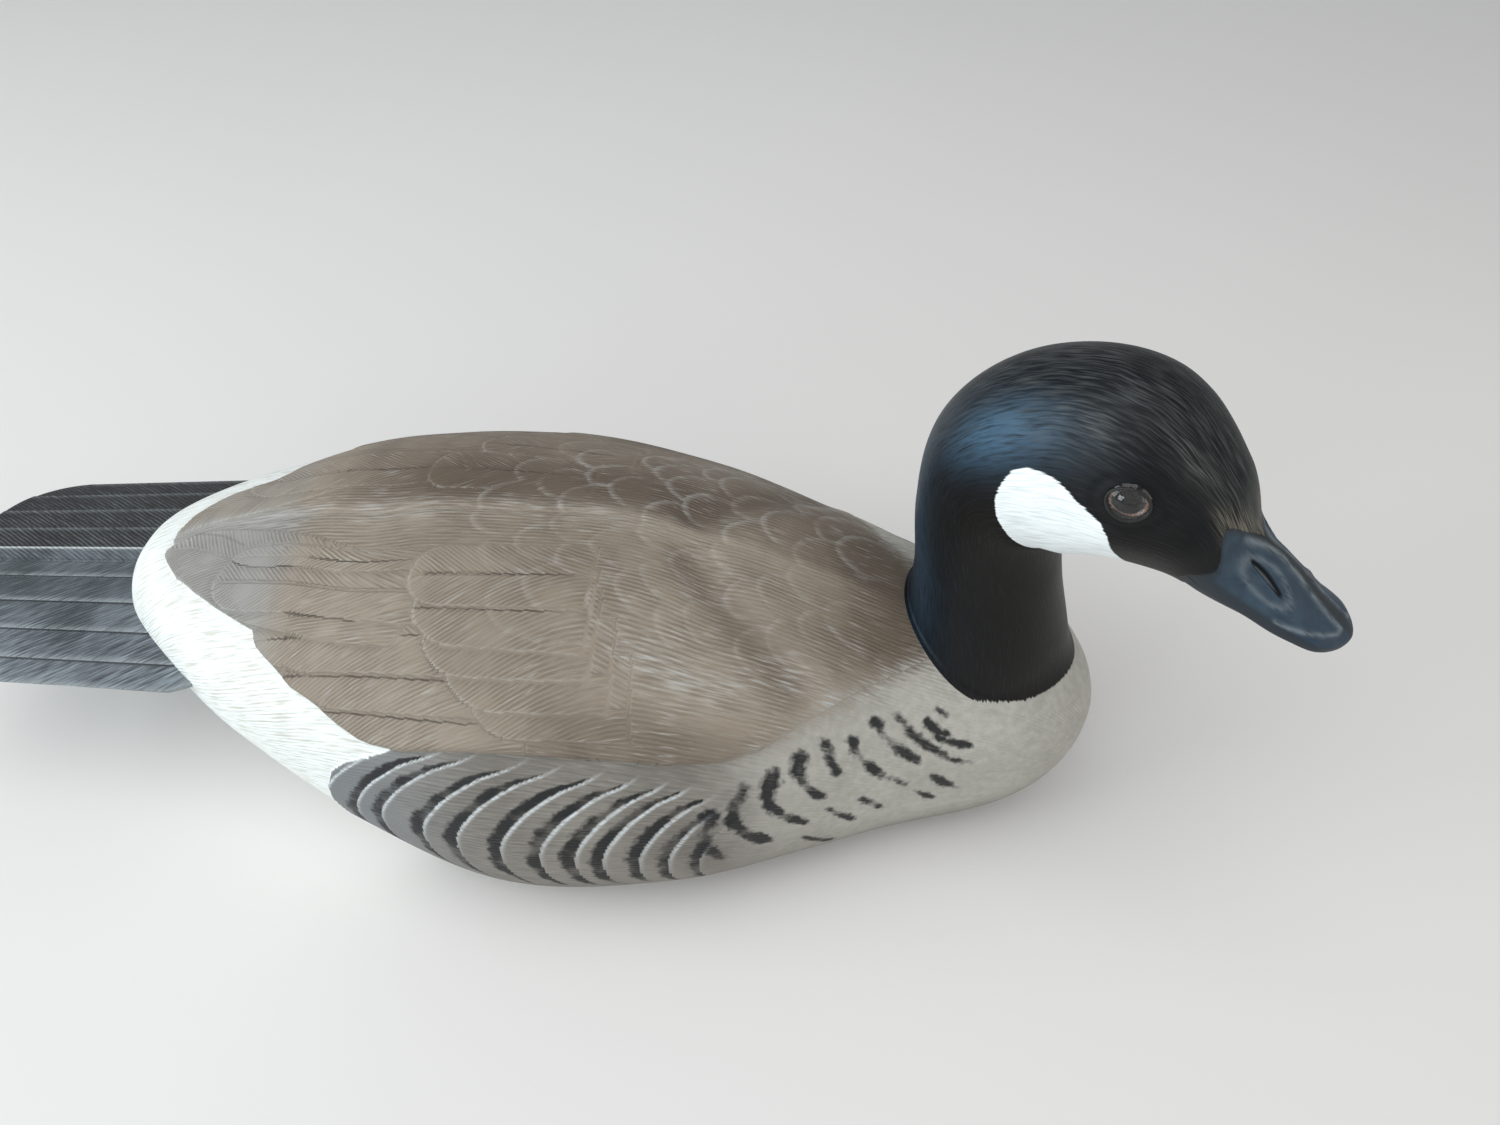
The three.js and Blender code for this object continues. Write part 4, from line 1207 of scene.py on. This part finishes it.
def bill_rows(grid, sweep, tip_gap):
    """Angles and stations of a bill half's rows, closer together towards its tip."""
    rows, columns = grid
    angle = np.radians(np.linspace(*sweep, columns))
    base = feather_edge(angle) - 0.16
    part = np.sin(np.linspace(0, 1, rows) * np.pi / 2)[:, None] ** 0.9
    return angle, base, base + (BILL_TIP - tip_gap - base) * part


def closed_across(outer, columns, arch):
    """An open half shell closed across its mouth by a low arch."""
    first, last = outer[:, :1], outer[:, -1:]
    part = np.linspace(0, 1, columns + 2)[1:-1][None, :, None]
    inner = last * (1 - part) + first * part
    inner[..., 2] += arch * np.sqrt(np.sin(part[..., 0] * np.pi))
    return np.concatenate([outer, inner], axis=1)


def bill_upper():
    """The upper half of the bill, with its nostrils and ridge lines carved in."""
    angle, base, station = bill_rows(BILL_UPPER_GRID, (-MOUTH_ANGLE, MOUTH_ANGLE), 0.003)
    place = head_point(station, angle[None, :])
    degrees = np.broadcast_to(degrees_from_crown(angle), station.shape)
    height, rim, dark, lip = bill_relief(station, degrees)
    height = height * fall(11.7, 11.97, station)
    normals = outward_normals(place, place.mean(axis=1, keepdims=True))
    points = closed_across(place + normals * height[..., None], BILL_UPPER_INNER, 0.5)
    masks = stack_fields(rim, dark, lip)
    to_feathers = (station - base) * BILL_STATION_LENGTH
    places = stack_fields(degrees, station, to_feathers)
    shape = points.shape[:1] + (BILL_UPPER_INNER, 3)
    return closed_loft("bill_upper_carved", points, {
        "bill": np.concatenate([masks, np.zeros(shape)], axis=1),
        "place": np.concatenate([places, np.full(shape, BILL_FAR)], axis=1),
    })


def bill_lower():
    angle, _, station = bill_rows(BILL_LOWER_GRID, (MOUTH_ANGLE, 360 - MOUTH_ANGLE), 0.02)
    outer = head_point(station, angle[None, :], LOWER_BILL_INSET)
    outer[..., 2] -= 0.15
    points = closed_across(outer, BILL_LOWER_INNER, 0)
    return closed_loft("bill_lower_carved", points, {
        "bill": np.zeros(points.shape), "place": np.full(points.shape, BILL_FAR),
    })


def turned_piece(name, profile, place):
    """A turned piece about an eye's axis, from the radius and height of each profile point."""
    _, outwards, long_axis, short_axis, rim_centre = place
    turn = np.linspace(0, 2 * np.pi, EYE_SIDES, endpoint=False)
    radius, out = np.array(profile, float).T[..., None]
    along, up = radius * np.cos(turn), radius * np.sin(turn)
    local = stack_fields(along, up, out)
    points = rim_centre + local @ np.stack([long_axis, short_axis, outwards])
    return closed_loft(name, points, {"eye": local})


def eye_pieces(side_name, side):
    """An eye's clear dome, and the iris behind it."""
    place = eye_place(side)
    sweep = np.linspace(math.asin(EYE_RADIUS / EYE_DOME_RADIUS), 0.004, 20)
    height = EYE_DOME_RADIUS * np.cos(sweep) - EYE_DOME_RADIUS + DOME_HEIGHT
    dome = list(zip(EYE_DOME_RADIUS * np.sin(sweep), height))
    rim = [(EYE_RADIUS * 0.5, -GLASS_BACK), (EYE_RADIUS, -GLASS_BACK)]
    bowl = [(radius, -IRIS_DEPTH - IRIS_DISH * (radius / EYE_RADIUS) ** 2)
            for radius in np.linspace(EYE_RADIUS, 0.02, 24)]
    back = [(0.3, -EYE_BACK), (EYE_RADIUS, -EYE_BACK)]
    glass = turned_piece("eye_glass_" + side_name, rim + dome, place)
    return glass, turned_piece("eye_iris_" + side_name, back + bowl, place)


def lid_piece(side_name, side):
    """A thin raised rim round the opening of an eye."""
    centre, outwards, long_axis, short_axis, _ = eye_place(side)
    turn = np.linspace(0, 2 * np.pi, LID_SIDES[0], endpoint=False)[:, None]
    spoke = long_axis * np.cos(turn) * EYE_OPENING[0] + short_axis * np.sin(turn) * EYE_OPENING[1]
    reach = np.linalg.norm(spoke, axis=1, keepdims=True)
    drop = EYE_DOME_RADIUS - np.sqrt(EYE_DOME_RADIUS**2 - reach**2)
    middle = centre + spoke * 1.03 + outwards * (EYE_PROUD - drop)
    around = np.linspace(0, 2 * np.pi, LID_SIDES[1], endpoint=False)[None, :, None]
    side_part = (spoke / reach)[:, None] * LID_WIDTH * np.cos(around)
    points = middle[:, None] + side_part + outwards * LID_HEIGHT * np.sin(around)
    points = np.concatenate([points, points[:1]])
    rows, count = points.shape[:2]
    return make_mesh("eyelid_" + side_name, points, [quads_of(rows, count, closed=True)],
                     grid_uv(rows, count), {})


def linear(red, green, blue):
    """A paint's colour from its screen values, 0 to 255."""
    screen = np.array((red, green, blue)) / 255
    light = np.where(screen <= 0.04045, screen / 12.92, ((screen + 0.055) / 1.055) ** 2.4)
    return (*light.tolist(), 1.0)


def arithmetic(operation, is_turned=False):
    """A method that joins two values of a material by one node."""
    def join(self, other):
        pair = (other, self) if is_turned else (self, other)
        return self.paint.math(operation, *pair)
    return join


class Field:
    """A value or colour that a material's nodes work out over a surface."""

    def __init__(self, paint, socket):
        self.paint = paint
        self.socket = socket

    __add__ = arithmetic("ADD")
    __sub__ = arithmetic("SUBTRACT")
    __mul__ = arithmetic("MULTIPLY")
    __rsub__ = arithmetic("SUBTRACT", is_turned=True)

    def wobble(self, amount):
        """A 0 to 1 value turned into a swing about zero."""
        return (self - 0.5) * amount

    def span(self, low, high, to_low=0.0, to_high=1.0):
        """The value taken smoothly from one range to another."""
        node = self.paint.node("ShaderNodeMapRange", Value=self, From_Min=low, From_Max=high,
                               To_Min=to_low, To_Max=to_high)
        node.interpolation_type = "SMOOTHSTEP"
        return Field(self.paint, node.outputs[0])

    def band(self, low, full, still_full, high):
        """1 inside a range, fading to 0 at both its ends."""
        return self.span(low, full) * self.span(still_full, high, 1.0, 0.0)

    def mix(self, base, over):
        """A base colour with another over it, as strong as this value."""
        node = self.paint.node("ShaderNodeMix")
        node.data_type = "RGBA"
        for value, socket in zip((self, base, over), (node.inputs["Factor"], *node.inputs[6:8])):
            self.paint.put(value, socket)
        return Field(self.paint, node.outputs[2])


class Paint:
    """A node material, put together from small steps."""

    def __init__(self, name):
        self.material = bpy.data.materials.new(name)
        self.material.use_nodes = True
        self.tree = self.material.node_tree
        self.tree.nodes.clear()
        self.shader = self.node("ShaderNodeBsdfPrincipled")
        output = self.node("ShaderNodeOutputMaterial")
        self.tree.links.new(self.shader.outputs[0], output.inputs[0])
        self.place = Field(self, self.node("ShaderNodeTexCoord").outputs["Object"])

    def node(self, kind, **sockets):
        node = self.tree.nodes.new(kind)
        for title, value in sockets.items():
            self.put(value, node.inputs[title.replace("_", " ")])
        return node

    def put(self, value, socket):
        if isinstance(value, Field):
            self.tree.links.new(value.socket, socket)
        else:
            socket.default_value = value

    def math(self, operation, *values):
        node = self.node("ShaderNodeMath")
        node.operation = operation
        for value, socket in zip(values, node.inputs):
            self.put(value, socket)
        return Field(self, node.outputs[0])

    def attribute(self, name):
        node = self.node("ShaderNodeAttribute")
        node.attribute_name = name
        return self.parts(Field(self, node.outputs["Vector"]))

    def parts(self, vector):
        outputs = self.node("ShaderNodeSeparateXYZ", Vector=vector).outputs
        return tuple(Field(self, output) for output in outputs)

    def noise(self, scale, detail=2.0, vector=None):
        node = self.node("ShaderNodeTexNoise", Vector=vector or self.place, Scale=scale,
                         Detail=detail)
        return Field(self, node.outputs["Fac"])

    def streaks(self, across, along, fine, stretch):
        """Brush marks: narrow across, long along. fine is how many there are in a millimetre."""
        vector = self.node("ShaderNodeCombineXYZ", X=across * fine, Y=along * (fine / stretch))
        return self.noise(1.0, 3.0, Field(self, vector.outputs[0]))

    def barbs(self, across, spacing, wobble):
        """Burned barbs: 0 in the cuts, 1 between them."""
        wander = self.noise(330).wobble(wobble)
        return self.math("SINE", (across + wander) * (2 * math.pi / spacing)).span(-0.9, 0.9)

    def specks(self, amount, scale=95):
        """Rare tiny pale specks of dust and chipped paint."""
        cells = self.node("ShaderNodeTexVoronoi", Vector=self.place, Scale=scale)
        small = Field(self, cells.outputs["Distance"]).span(0.03, 0.09, 1.0, 0.0)
        return small * self.noise(scale / 5).span(0.66, 0.68) * amount

    def finish(self, colour, roughness, specular, grain, depth):
        """Sets the paint's colour and gloss, and its grain: 0 to 1 high, depth in millimetres."""
        self.put(colour, self.shader.inputs["Base Color"])
        self.put(roughness, self.shader.inputs["Roughness"])
        self.put(specular, self.shader.inputs["Specular IOR Level"])
        bump = self.node("ShaderNodeBump", Distance=depth * MM, Height=grain)
        self.put(Field(self, bump.outputs[0]), self.shader.inputs["Normal"])
        return self.material


def coats(colour, *layers):
    """A colour with others laid over it in turn, each by its own strength."""
    for strength, over in layers:
        colour = strength.mix(colour, over)
    return colour


WING_PLAIN = linear(147, 135, 120)
WING_LIGHT = linear(168, 158, 142)
WING_BROWN_AND_SHADE = linear(98, 86, 73)
WING_PALE_SHEEN = linear(152, 152, 149)
PALE_EDGE = linear(188, 187, 182)
BURNT = linear(70, 62, 55)
BREAST_LIGHT = linear(184, 182, 174)
BREAST_DARK = linear(165, 163, 154)
BREAST_LOW_SHADE = linear(96, 91, 81)
FLANK_LIGHT = linear(150, 146, 138)
FLANK_DARK = linear(114, 110, 103)
FLANK_REAR_SHADE = linear(118, 123, 126)
BAR_BLACK = linear(28, 29, 30)
LINE_GREY = linear(212, 218, 220)
RUMP_WHITE = linear(238, 243, 240)
RUMP_SHADE = linear(208, 208, 196)
NECK_BLACK = linear(10, 12, 14)
THROAT_BLACK = linear(17, 15, 13)
NECK_STROKE = linear(36, 40, 43)
SHEEN_BLUE = linear(70, 102, 126)
CROWN_GREY_AND_SHEEN = linear(112, 115, 114)
TAN_STROKE = linear(122, 118, 104)
CHEEK_WHITE = linear(248, 254, 254)
CHEEK_SHADE = linear(222, 231, 232)
TAIL_SHEEN_LIGHT = linear(146, 156, 163)
TAIL_GREY = linear(60, 67, 71)
TAIL_PALE = linear(150, 158, 160)
BILL_BLUE = linear(36, 52, 66)
BILL_DARK = linear(34, 41, 46)
BILL_GREY = linear(54, 71, 84)
BILL_PALE_AND_HIGHLIGHT = linear(142, 150, 152)
CULMEN_GREY = linear(46, 50, 52)
IRIS_DARK = linear(126, 92, 78)
IRIS_LIGHT = linear(214, 176, 160)
PUPIL_BLACK = linear(3, 3, 4)
GLASS_CLEAR = linear(250, 247, 243)
GLASS_WARM = linear(243, 240, 236)
LID_DARK = linear(13, 12, 12)
LID_LIGHT = linear(28, 24, 22)
FLOOR_DARK = linear(228, 226, 223)
FLOOR_LIGHT = linear(233, 231, 228)
# Brushes: strokes in a millimetre, and how many times as long as wide a stroke is.
BODY_BRUSH = (1.5, 12)
TAIL_BRUSH = (1.4, 12)
HEAD_BRUSH = (2.6, 22)
SOFT_HEAD_BRUSH = (1.5, 12)
BILL_BRUSH = (2.4, 7)
IRIS_BRUSH = (9, 15)
# Burned barbs: their spacing and how far they wander, in millimetres.
BODY_BARBS = (1.3, 0.6)
TAIL_BARBS = (1.15, 0.8)
GLASS_IOR = 1.5


def breast_colour(paint):
    cloud = paint.noise(30, 3)
    fleck = paint.noise(420, 3)
    plain = (cloud * 0.6 + fleck * 0.5).span(0.38, 0.72).mix(BREAST_DARK, BREAST_LIGHT)
    # Painted shade, darker towards the base.
    height = paint.parts(paint.place)[2] + cloud.wobble(0.02)
    return height.span(0.004, 0.034, 0.75, 0.0).mix(plain, BREAST_LOW_SHADE)


def wing_colour(paint, barbs, stroke, cloud):
    """Brown paint brushed over burned barbs, with pale feather edges, worn places, and painted shade
    and sheen.
    """
    _, seam, middle = paint.attribute("feather")
    edge, rim, shaft = paint.attribute("edge")
    groove, pale, shade = paint.attribute("tone")
    broad = paint.noise(75)
    tint = cloud * 0.6 + stroke * 0.5
    shade = shade + cloud.wobble(0.5)
    presence = broad.span(0.36, 0.62, 0.25, 1.0)
    off_seam = 1 - seam
    smudge = (stroke + broad * 0.6).span(0.6, 0.95)
    worn = (stroke + cloud * 0.5).span(0.6, 0.95)
    return coats(
        tint.span(0.4, 0.85, 0.0, 0.8).mix(WING_PLAIN, WING_LIGHT),
        # Brown tone with painted shade where the tone is low.
        (shade.span(0.1, -1.1, 0.0, 0.9), WING_BROWN_AND_SHADE),
        # Painted pale bluish sheen where the tone is high, over the wing's rear.
        (shade.span(0.1, 0.9, 0.0, 0.85), WING_PALE_SHEEN),
        ((1 - barbs) * presence * off_seam * 0.36, BURNT),
        (stroke.span(0.54, 0.7) * presence * off_seam * 0.42, PALE_EDGE),
        (edge.span(0.1, 1.15, 1.0, 0.0) * rim * smudge * 0.62, PALE_EDGE),
        (middle.band(0.2, 0.5, 0.55, 0.9) * shaft * 0.4, BURNT),
        (pale * worn * 0.6, PALE_EDGE),
        # Burned cut lines, with the painted shadow under each feather's edge.
        (groove * 0.42, BURNT),
    )


def low_colour(paint, barbs, stroke, cloud):
    """Flank and breast: grey-brown, with ragged black bars and thin pale feather edges, painted shade
    that darkens them towards the base, and painted bluish shade towards the rear.
    """
    bar = paint.attribute("paint")[1]
    line = paint.attribute("tone")[1]
    x, _, height = paint.parts(paint.place)
    broad = paint.noise(120)
    tint = cloud * 0.6 + stroke * 0.5
    ragged = bar + paint.noise(520).wobble(3.2) + broad.wobble(5)
    solid = (broad + stroke.wobble(0.5)).span(0.3, 0.56, 0.5, 0.98)
    return coats(
        tint.span(0.4, 0.75).mix(FLANK_DARK, FLANK_LIGHT),
        # Painted bluish shade, darker towards the rear.
        (x.span(-0.015, -0.065, 0.0, 0.85), FLANK_REAR_SHADE),
        ((1 - barbs) * 0.12, BURNT),
        # Painted shade, darker towards the base.
        (height.span(0.0, 0.028, 0.65, 0.0), BREAST_LOW_SHADE),
        ((x + cloud.wobble(0.04)).span(0.03, 0.085), breast_colour(paint)),
        (ragged.span(-0.9, 1.1) * solid, BAR_BLACK),
        (line * stroke.span(0.64, 0.42, 0.35, 1.0) * 0.95, LINE_GREY),
    )


def body_paint():
    paint = Paint("goose_body_paint")
    across, seam, _ = paint.attribute("feather")
    white, _, wing = paint.attribute("paint")
    barbs = paint.barbs(across, *BODY_BARBS)
    along = paint.parts(paint.place)[0] * (1 / MM)
    stroke = paint.streaks(across, along, *BODY_BRUSH)
    cloud = paint.noise(30, 3)
    rump = stroke.span(0.3, 0.56).mix(RUMP_SHADE, RUMP_WHITE)
    colour = coats(
        low_colour(paint, barbs, stroke, cloud),
        ((wing + stroke.wobble(1.8)).span(-0.4, 0.4), wing_colour(paint, barbs, stroke, cloud)),
        ((white + stroke.wobble(1.4)).span(-0.25, 0.25), rump),
        (paint.specks(0.7), RUMP_WHITE),
    )
    presence = paint.noise(75).span(0.3, 0.62, 0.35, 1.0)
    grain = barbs * presence * (1 - seam) + stroke * 1.1 + paint.noise(900) * 0.35
    gloss = (cloud + stroke * 0.5).span(0.4, 1.1, 0.52, 0.7)
    return paint.finish(colour, gloss, 0.35, grain, 0.12)


def head_paint():
    """Blue-black satin paint in long fine strokes, with painted blue and grey sheen, the pale cheek
    and the neck's foot.
    """
    paint = Paint("goose_head_paint")
    across, along, degrees = paint.attribute("feather")
    black, cheek, to_bill = paint.attribute("paint")
    crown, sheen, fringe = paint.attribute("tone")
    bent = across + paint.noise(45) * 4
    stroke = paint.streaks(bent, along, *HEAD_BRUSH)
    soft = paint.streaks(bent, along, *SOFT_HEAD_BRUSH)
    cloud = paint.noise(32)
    brushed = (stroke + soft * 0.7).span(0.7, 1.15)
    near_bill = to_bill.span(2, 11, 1, 0)
    cheek_white = stroke.span(0.34, 0.58).mix(CHEEK_SHADE, CHEEK_WHITE)
    head = coats(
        degrees.span(60, 125).mix(NECK_BLACK, THROAT_BLACK),
        # Painted blue sheen at the back of the head.
        (sheen * soft.span(0.15, 0.6) * 0.9, SHEEN_BLUE),
        (stroke.span(0.5, 0.72, 0.0, 0.4), NECK_STROKE),
        # Grey crown strokes, with patches of painted grey sheen.
        (crown * brushed * 0.62, CROWN_GREY_AND_SHEEN),
        (fringe * near_bill * stroke.span(0.4, 0.6) * 0.75, TAN_STROKE),
        ((cheek + stroke.wobble(1.1)).span(-0.22, 0.22), cheek_white),
    )
    below = degrees.span(58, 82).mix(WING_PLAIN, breast_colour(paint))
    on_black = (black + stroke.wobble(2.4) + soft.wobble(1.8)).span(-0.3, 0.4)
    colour = coats(below, (on_black, head), (paint.specks(0.5, 110), CHEEK_SHADE))
    grain = stroke + soft * 0.5 + paint.noise(1000) * 0.2
    gloss = (cloud + stroke * 0.6).span(0.45, 1.2, 0.36, 0.5)
    return paint.finish(colour, gloss, 0.2, grain, 0.14)


def tail_paint():
    """Charcoal black, with pale barbs on the left half, a painted grey-blue sheen over the right half
    that grows outwards, pale dusty edges with a painted highlight, and a dark burnt line with painted
    shadow under each edge.
    """
    paint = Paint("goose_tail_paint")
    across, along, middle = paint.attribute("feather")
    edge, from_line, left = paint.attribute("edge")
    barbs = paint.barbs(across, *TAIL_BARBS)
    stroke = paint.streaks(across, along, *TAIL_BRUSH)
    cloud = paint.noise(40, 3)
    tint = cloud * 0.5 + stroke * 0.6
    # The right half: painted grey-blue sheen, stronger outwards.
    outer = paint.parts(paint.place)[1].span(-0.008, -0.036, 0.45, 1.0)
    near = (tint.span(0.4, 0.78) * outer).mix(TAIL_GREY, TAIL_SHEEN_LIGHT)
    far = (barbs * tint.span(0.46, 0.76) * 0.3).mix(BAR_BLACK, TAIL_PALE)
    patchy = (stroke + cloud * 0.5).span(0.45, 0.85)
    # Pale dusty paint along each feather's outer edge, with a painted highlight on its step.
    dust_and_highlight = edge.span(0.2, 2.6, 1, 0) * patchy * left.span(0, 1, 0.7, 0.3)
    beside_shaft = paint.math("ABSOLUTE", middle).band(0.3, 0.6, 0.7, 1.1)
    colour = coats(
        left.mix(near, far),
        (dust_and_highlight, TAIL_PALE),
        # A dark line under each neighbour's edge: a burnt line with painted shadow.
        (from_line.span(0, 0.7, 0.4, 0), BAR_BLACK),
        (beside_shaft * 0.35, BAR_BLACK),
        # A bright line along the middle feather's raised left edge: pale paint with a painted
        # highlight.
        (middle.band(5.6, 6.4, 7.2, 7.8) * 0.75, LINE_GREY),
    )
    gloss = (cloud + stroke * 0.5).span(0.4, 1.1, 0.42, 0.6)
    return paint.finish(colour, gloss, 0.5, barbs + stroke, 0.14)


def bill_paint():
    """Smooth slate, with pale dry brush that also paints a highlight along the ridge lines, round the
    nostrils and on the nostril slit's lip.
    """
    paint = Paint("goose_bill_paint")
    rim, dark, lip = paint.attribute("bill")
    degrees, station, to_feathers = paint.attribute("place")
    across, along = degrees * BILL_DEGREE_LENGTH, station * BILL_STATION_LENGTH
    stroke = paint.streaks(across, along, *BILL_BRUSH)
    cloud = paint.noise(160, 3)
    colour = coats(
        cloud.span(0.35, 0.75).mix(BILL_BLUE, BILL_GREY),
        (degrees.span(9, 20, 0.85, 0.0), CULMEN_GREY),
        (degrees.span(74, 90, 0.0, 0.85), BILL_DARK),
        # Pale dry brush with a painted highlight along the ridges, round the nostril and on the
        # slit's lip.
        (rim * (stroke + cloud).span(0.7, 1.1) * 0.55, BILL_PALE_AND_HIGHLIGHT),
        (dark * 0.9, BAR_BLACK),
        (lip * 0.7, BILL_PALE_AND_HIGHLIGHT),
        (to_feathers.span(1.5, 3.0, 0.65, 0.0), BILL_DARK),
    )
    gloss = (cloud + stroke).span(0.6, 1.4, 0.42, 0.58)
    return paint.finish(colour, gloss, 0.32, stroke + paint.noise(1400) * 0.5, 0.06)


def iris_paint():
    """A brown iris with fine rays round an oval pupil."""
    paint = Paint("goose_eye_iris")
    along, up, _ = paint.attribute("eye")
    tall = up * (PUPIL_LENGTH / PUPIL_HEIGHT)
    reach = paint.math("SQRT", along * along + tall * tall)
    rays = paint.streaks(paint.math("ARCTAN2", up, along), reach, *IRIS_BRUSH)
    pupil = reach.span(PUPIL_LENGTH - PUPIL_SOFTNESS, PUPIL_LENGTH + PUPIL_SOFTNESS, 1.0, 0.0)
    colour = coats(rays.span(0.3, 0.7).mix(IRIS_DARK, IRIS_LIGHT), (pupil, PUPIL_BLACK))
    return paint.finish(colour, rays.span(0.3, 0.7, 0.6, 0.7), 0.0, rays, 0.05)


def glass_paint():
    paint = Paint("goose_eye_glass")
    smear = paint.noise(420)
    paint.put(1.0, paint.shader.inputs["Transmission Weight"])
    paint.put(GLASS_IOR, paint.shader.inputs["IOR"])
    tint = smear.mix(GLASS_CLEAR, GLASS_WARM)
    return paint.finish(tint, smear.span(0.35, 0.7, 0.01, 0.05), 0.5, smear, 0.004)


def lid_paint():
    paint = Paint("goose_eyelid_paint")
    cloud = paint.noise(700, 3)
    colour = cloud.span(0.35, 0.7).mix(LID_DARK, LID_LIGHT)
    return paint.finish(colour, cloud.span(0.3, 0.7, 0.38, 0.52), 0.5, cloud, 0.08)


def floor_paint():
    paint = Paint("studio_floor")
    colour = paint.noise(3).mix(FLOOR_DARK, FLOOR_LIGHT)
    return paint.finish(colour, 0.75, 0.2, paint.noise(60), 0.02)


def finish_piece(piece, material, slot, *nodes):
    piece.data.materials.append(material)
    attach(piece, "root")
    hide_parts(*nodes)


def build_goose():
    material = body_paint()
    skins = split_body()
    for side in ("left", "right"):
        back, flank = skins["skin_back_" + side], skins["skin_flank_" + side]
        finish_piece(back, material, "wing_paint", "wing_" + side, "trunk")
        finish_piece(flank, material, "body_paint", "trunk")
    finish_piece(head_skin(), head_paint(), "head_paint", "neck", "head")
    finish_piece(tail_piece(), tail_paint(), "tail_paint", "tail")
    bill = bill_paint()
    finish_piece(bill_upper(), bill, "bill_paint", "bill_upper")
    finish_piece(bill_lower(), bill, "bill_paint", "bill_lower")
    glass, iris, lid = glass_paint(), iris_paint(), lid_paint()
    for side_name, side in (("left", 1), ("right", -1)):
        dome, bowl = eye_pieces(side_name, side)
        finish_piece(dome, glass, "eye_glass", "eye_" + side_name)
        finish_piece(bowl, iris, "eye_glass", "eye_" + side_name)
        finish_piece(lid_piece(side_name, side), lid, "head_paint", "head")


def build_stage():
    bpy.ops.mesh.primitive_plane_add(size=FLOOR_SIZE, location=(0, 0, FLOOR_HEIGHT))
    floor = bpy.context.active_object
    floor.name = "studio_floor"
    floor.data.materials.append(floor_paint())
    world = bpy.data.worlds.new("studio")
    bpy.context.scene.world = world
    world.use_nodes = True
    background = world.node_tree.nodes["Background"]
    background.inputs["Color"].default_value = SKY_COLOUR
    background.inputs["Strength"].default_value = SKY_STRENGTH
    for light in STUDIO_LIGHTS:
        add_light(*light)


def add_light(name, place, power, size, colour):
    data = bpy.data.lights.new(name, "AREA")
    data.energy = power
    data.size = size
    data.color = colour
    light = bpy.data.objects.new(name, data)
    light.location = place
    aim = Vector(LIGHT_AIM) - Vector(place)
    light.rotation_euler = aim.to_track_quat("-Z", "Y").to_euler()
    bpy.context.scene.collection.objects.link(light)


def build_camera():
    data = bpy.data.cameras.new("camera")
    data.sensor_width = SENSOR_WIDTH
    data.lens = FOCAL_PIXELS / PHOTO_WIDTH * SENSOR_WIDTH
    data.clip_start = CAMERA_NEAREST
    camera = bpy.data.objects.new("camera", data)
    camera.matrix_world = Matrix.Translation(Vector(CAMERA_PLACE) * MM)
    for angle, axis in ((CAMERA_HEADING, "Z"), (CAMERA_TILT, "X"), (CAMERA_ROLL, "Z")):
        camera.matrix_world @= Matrix.Rotation(math.radians(angle), 4, axis)
    bpy.context.scene.collection.objects.link(camera)
    bpy.context.scene.camera = camera


build_camera()
build_stage()
build_goose()
bpy.context.scene.view_settings.view_transform = "Standard"

bpy.context.view_layer.update()
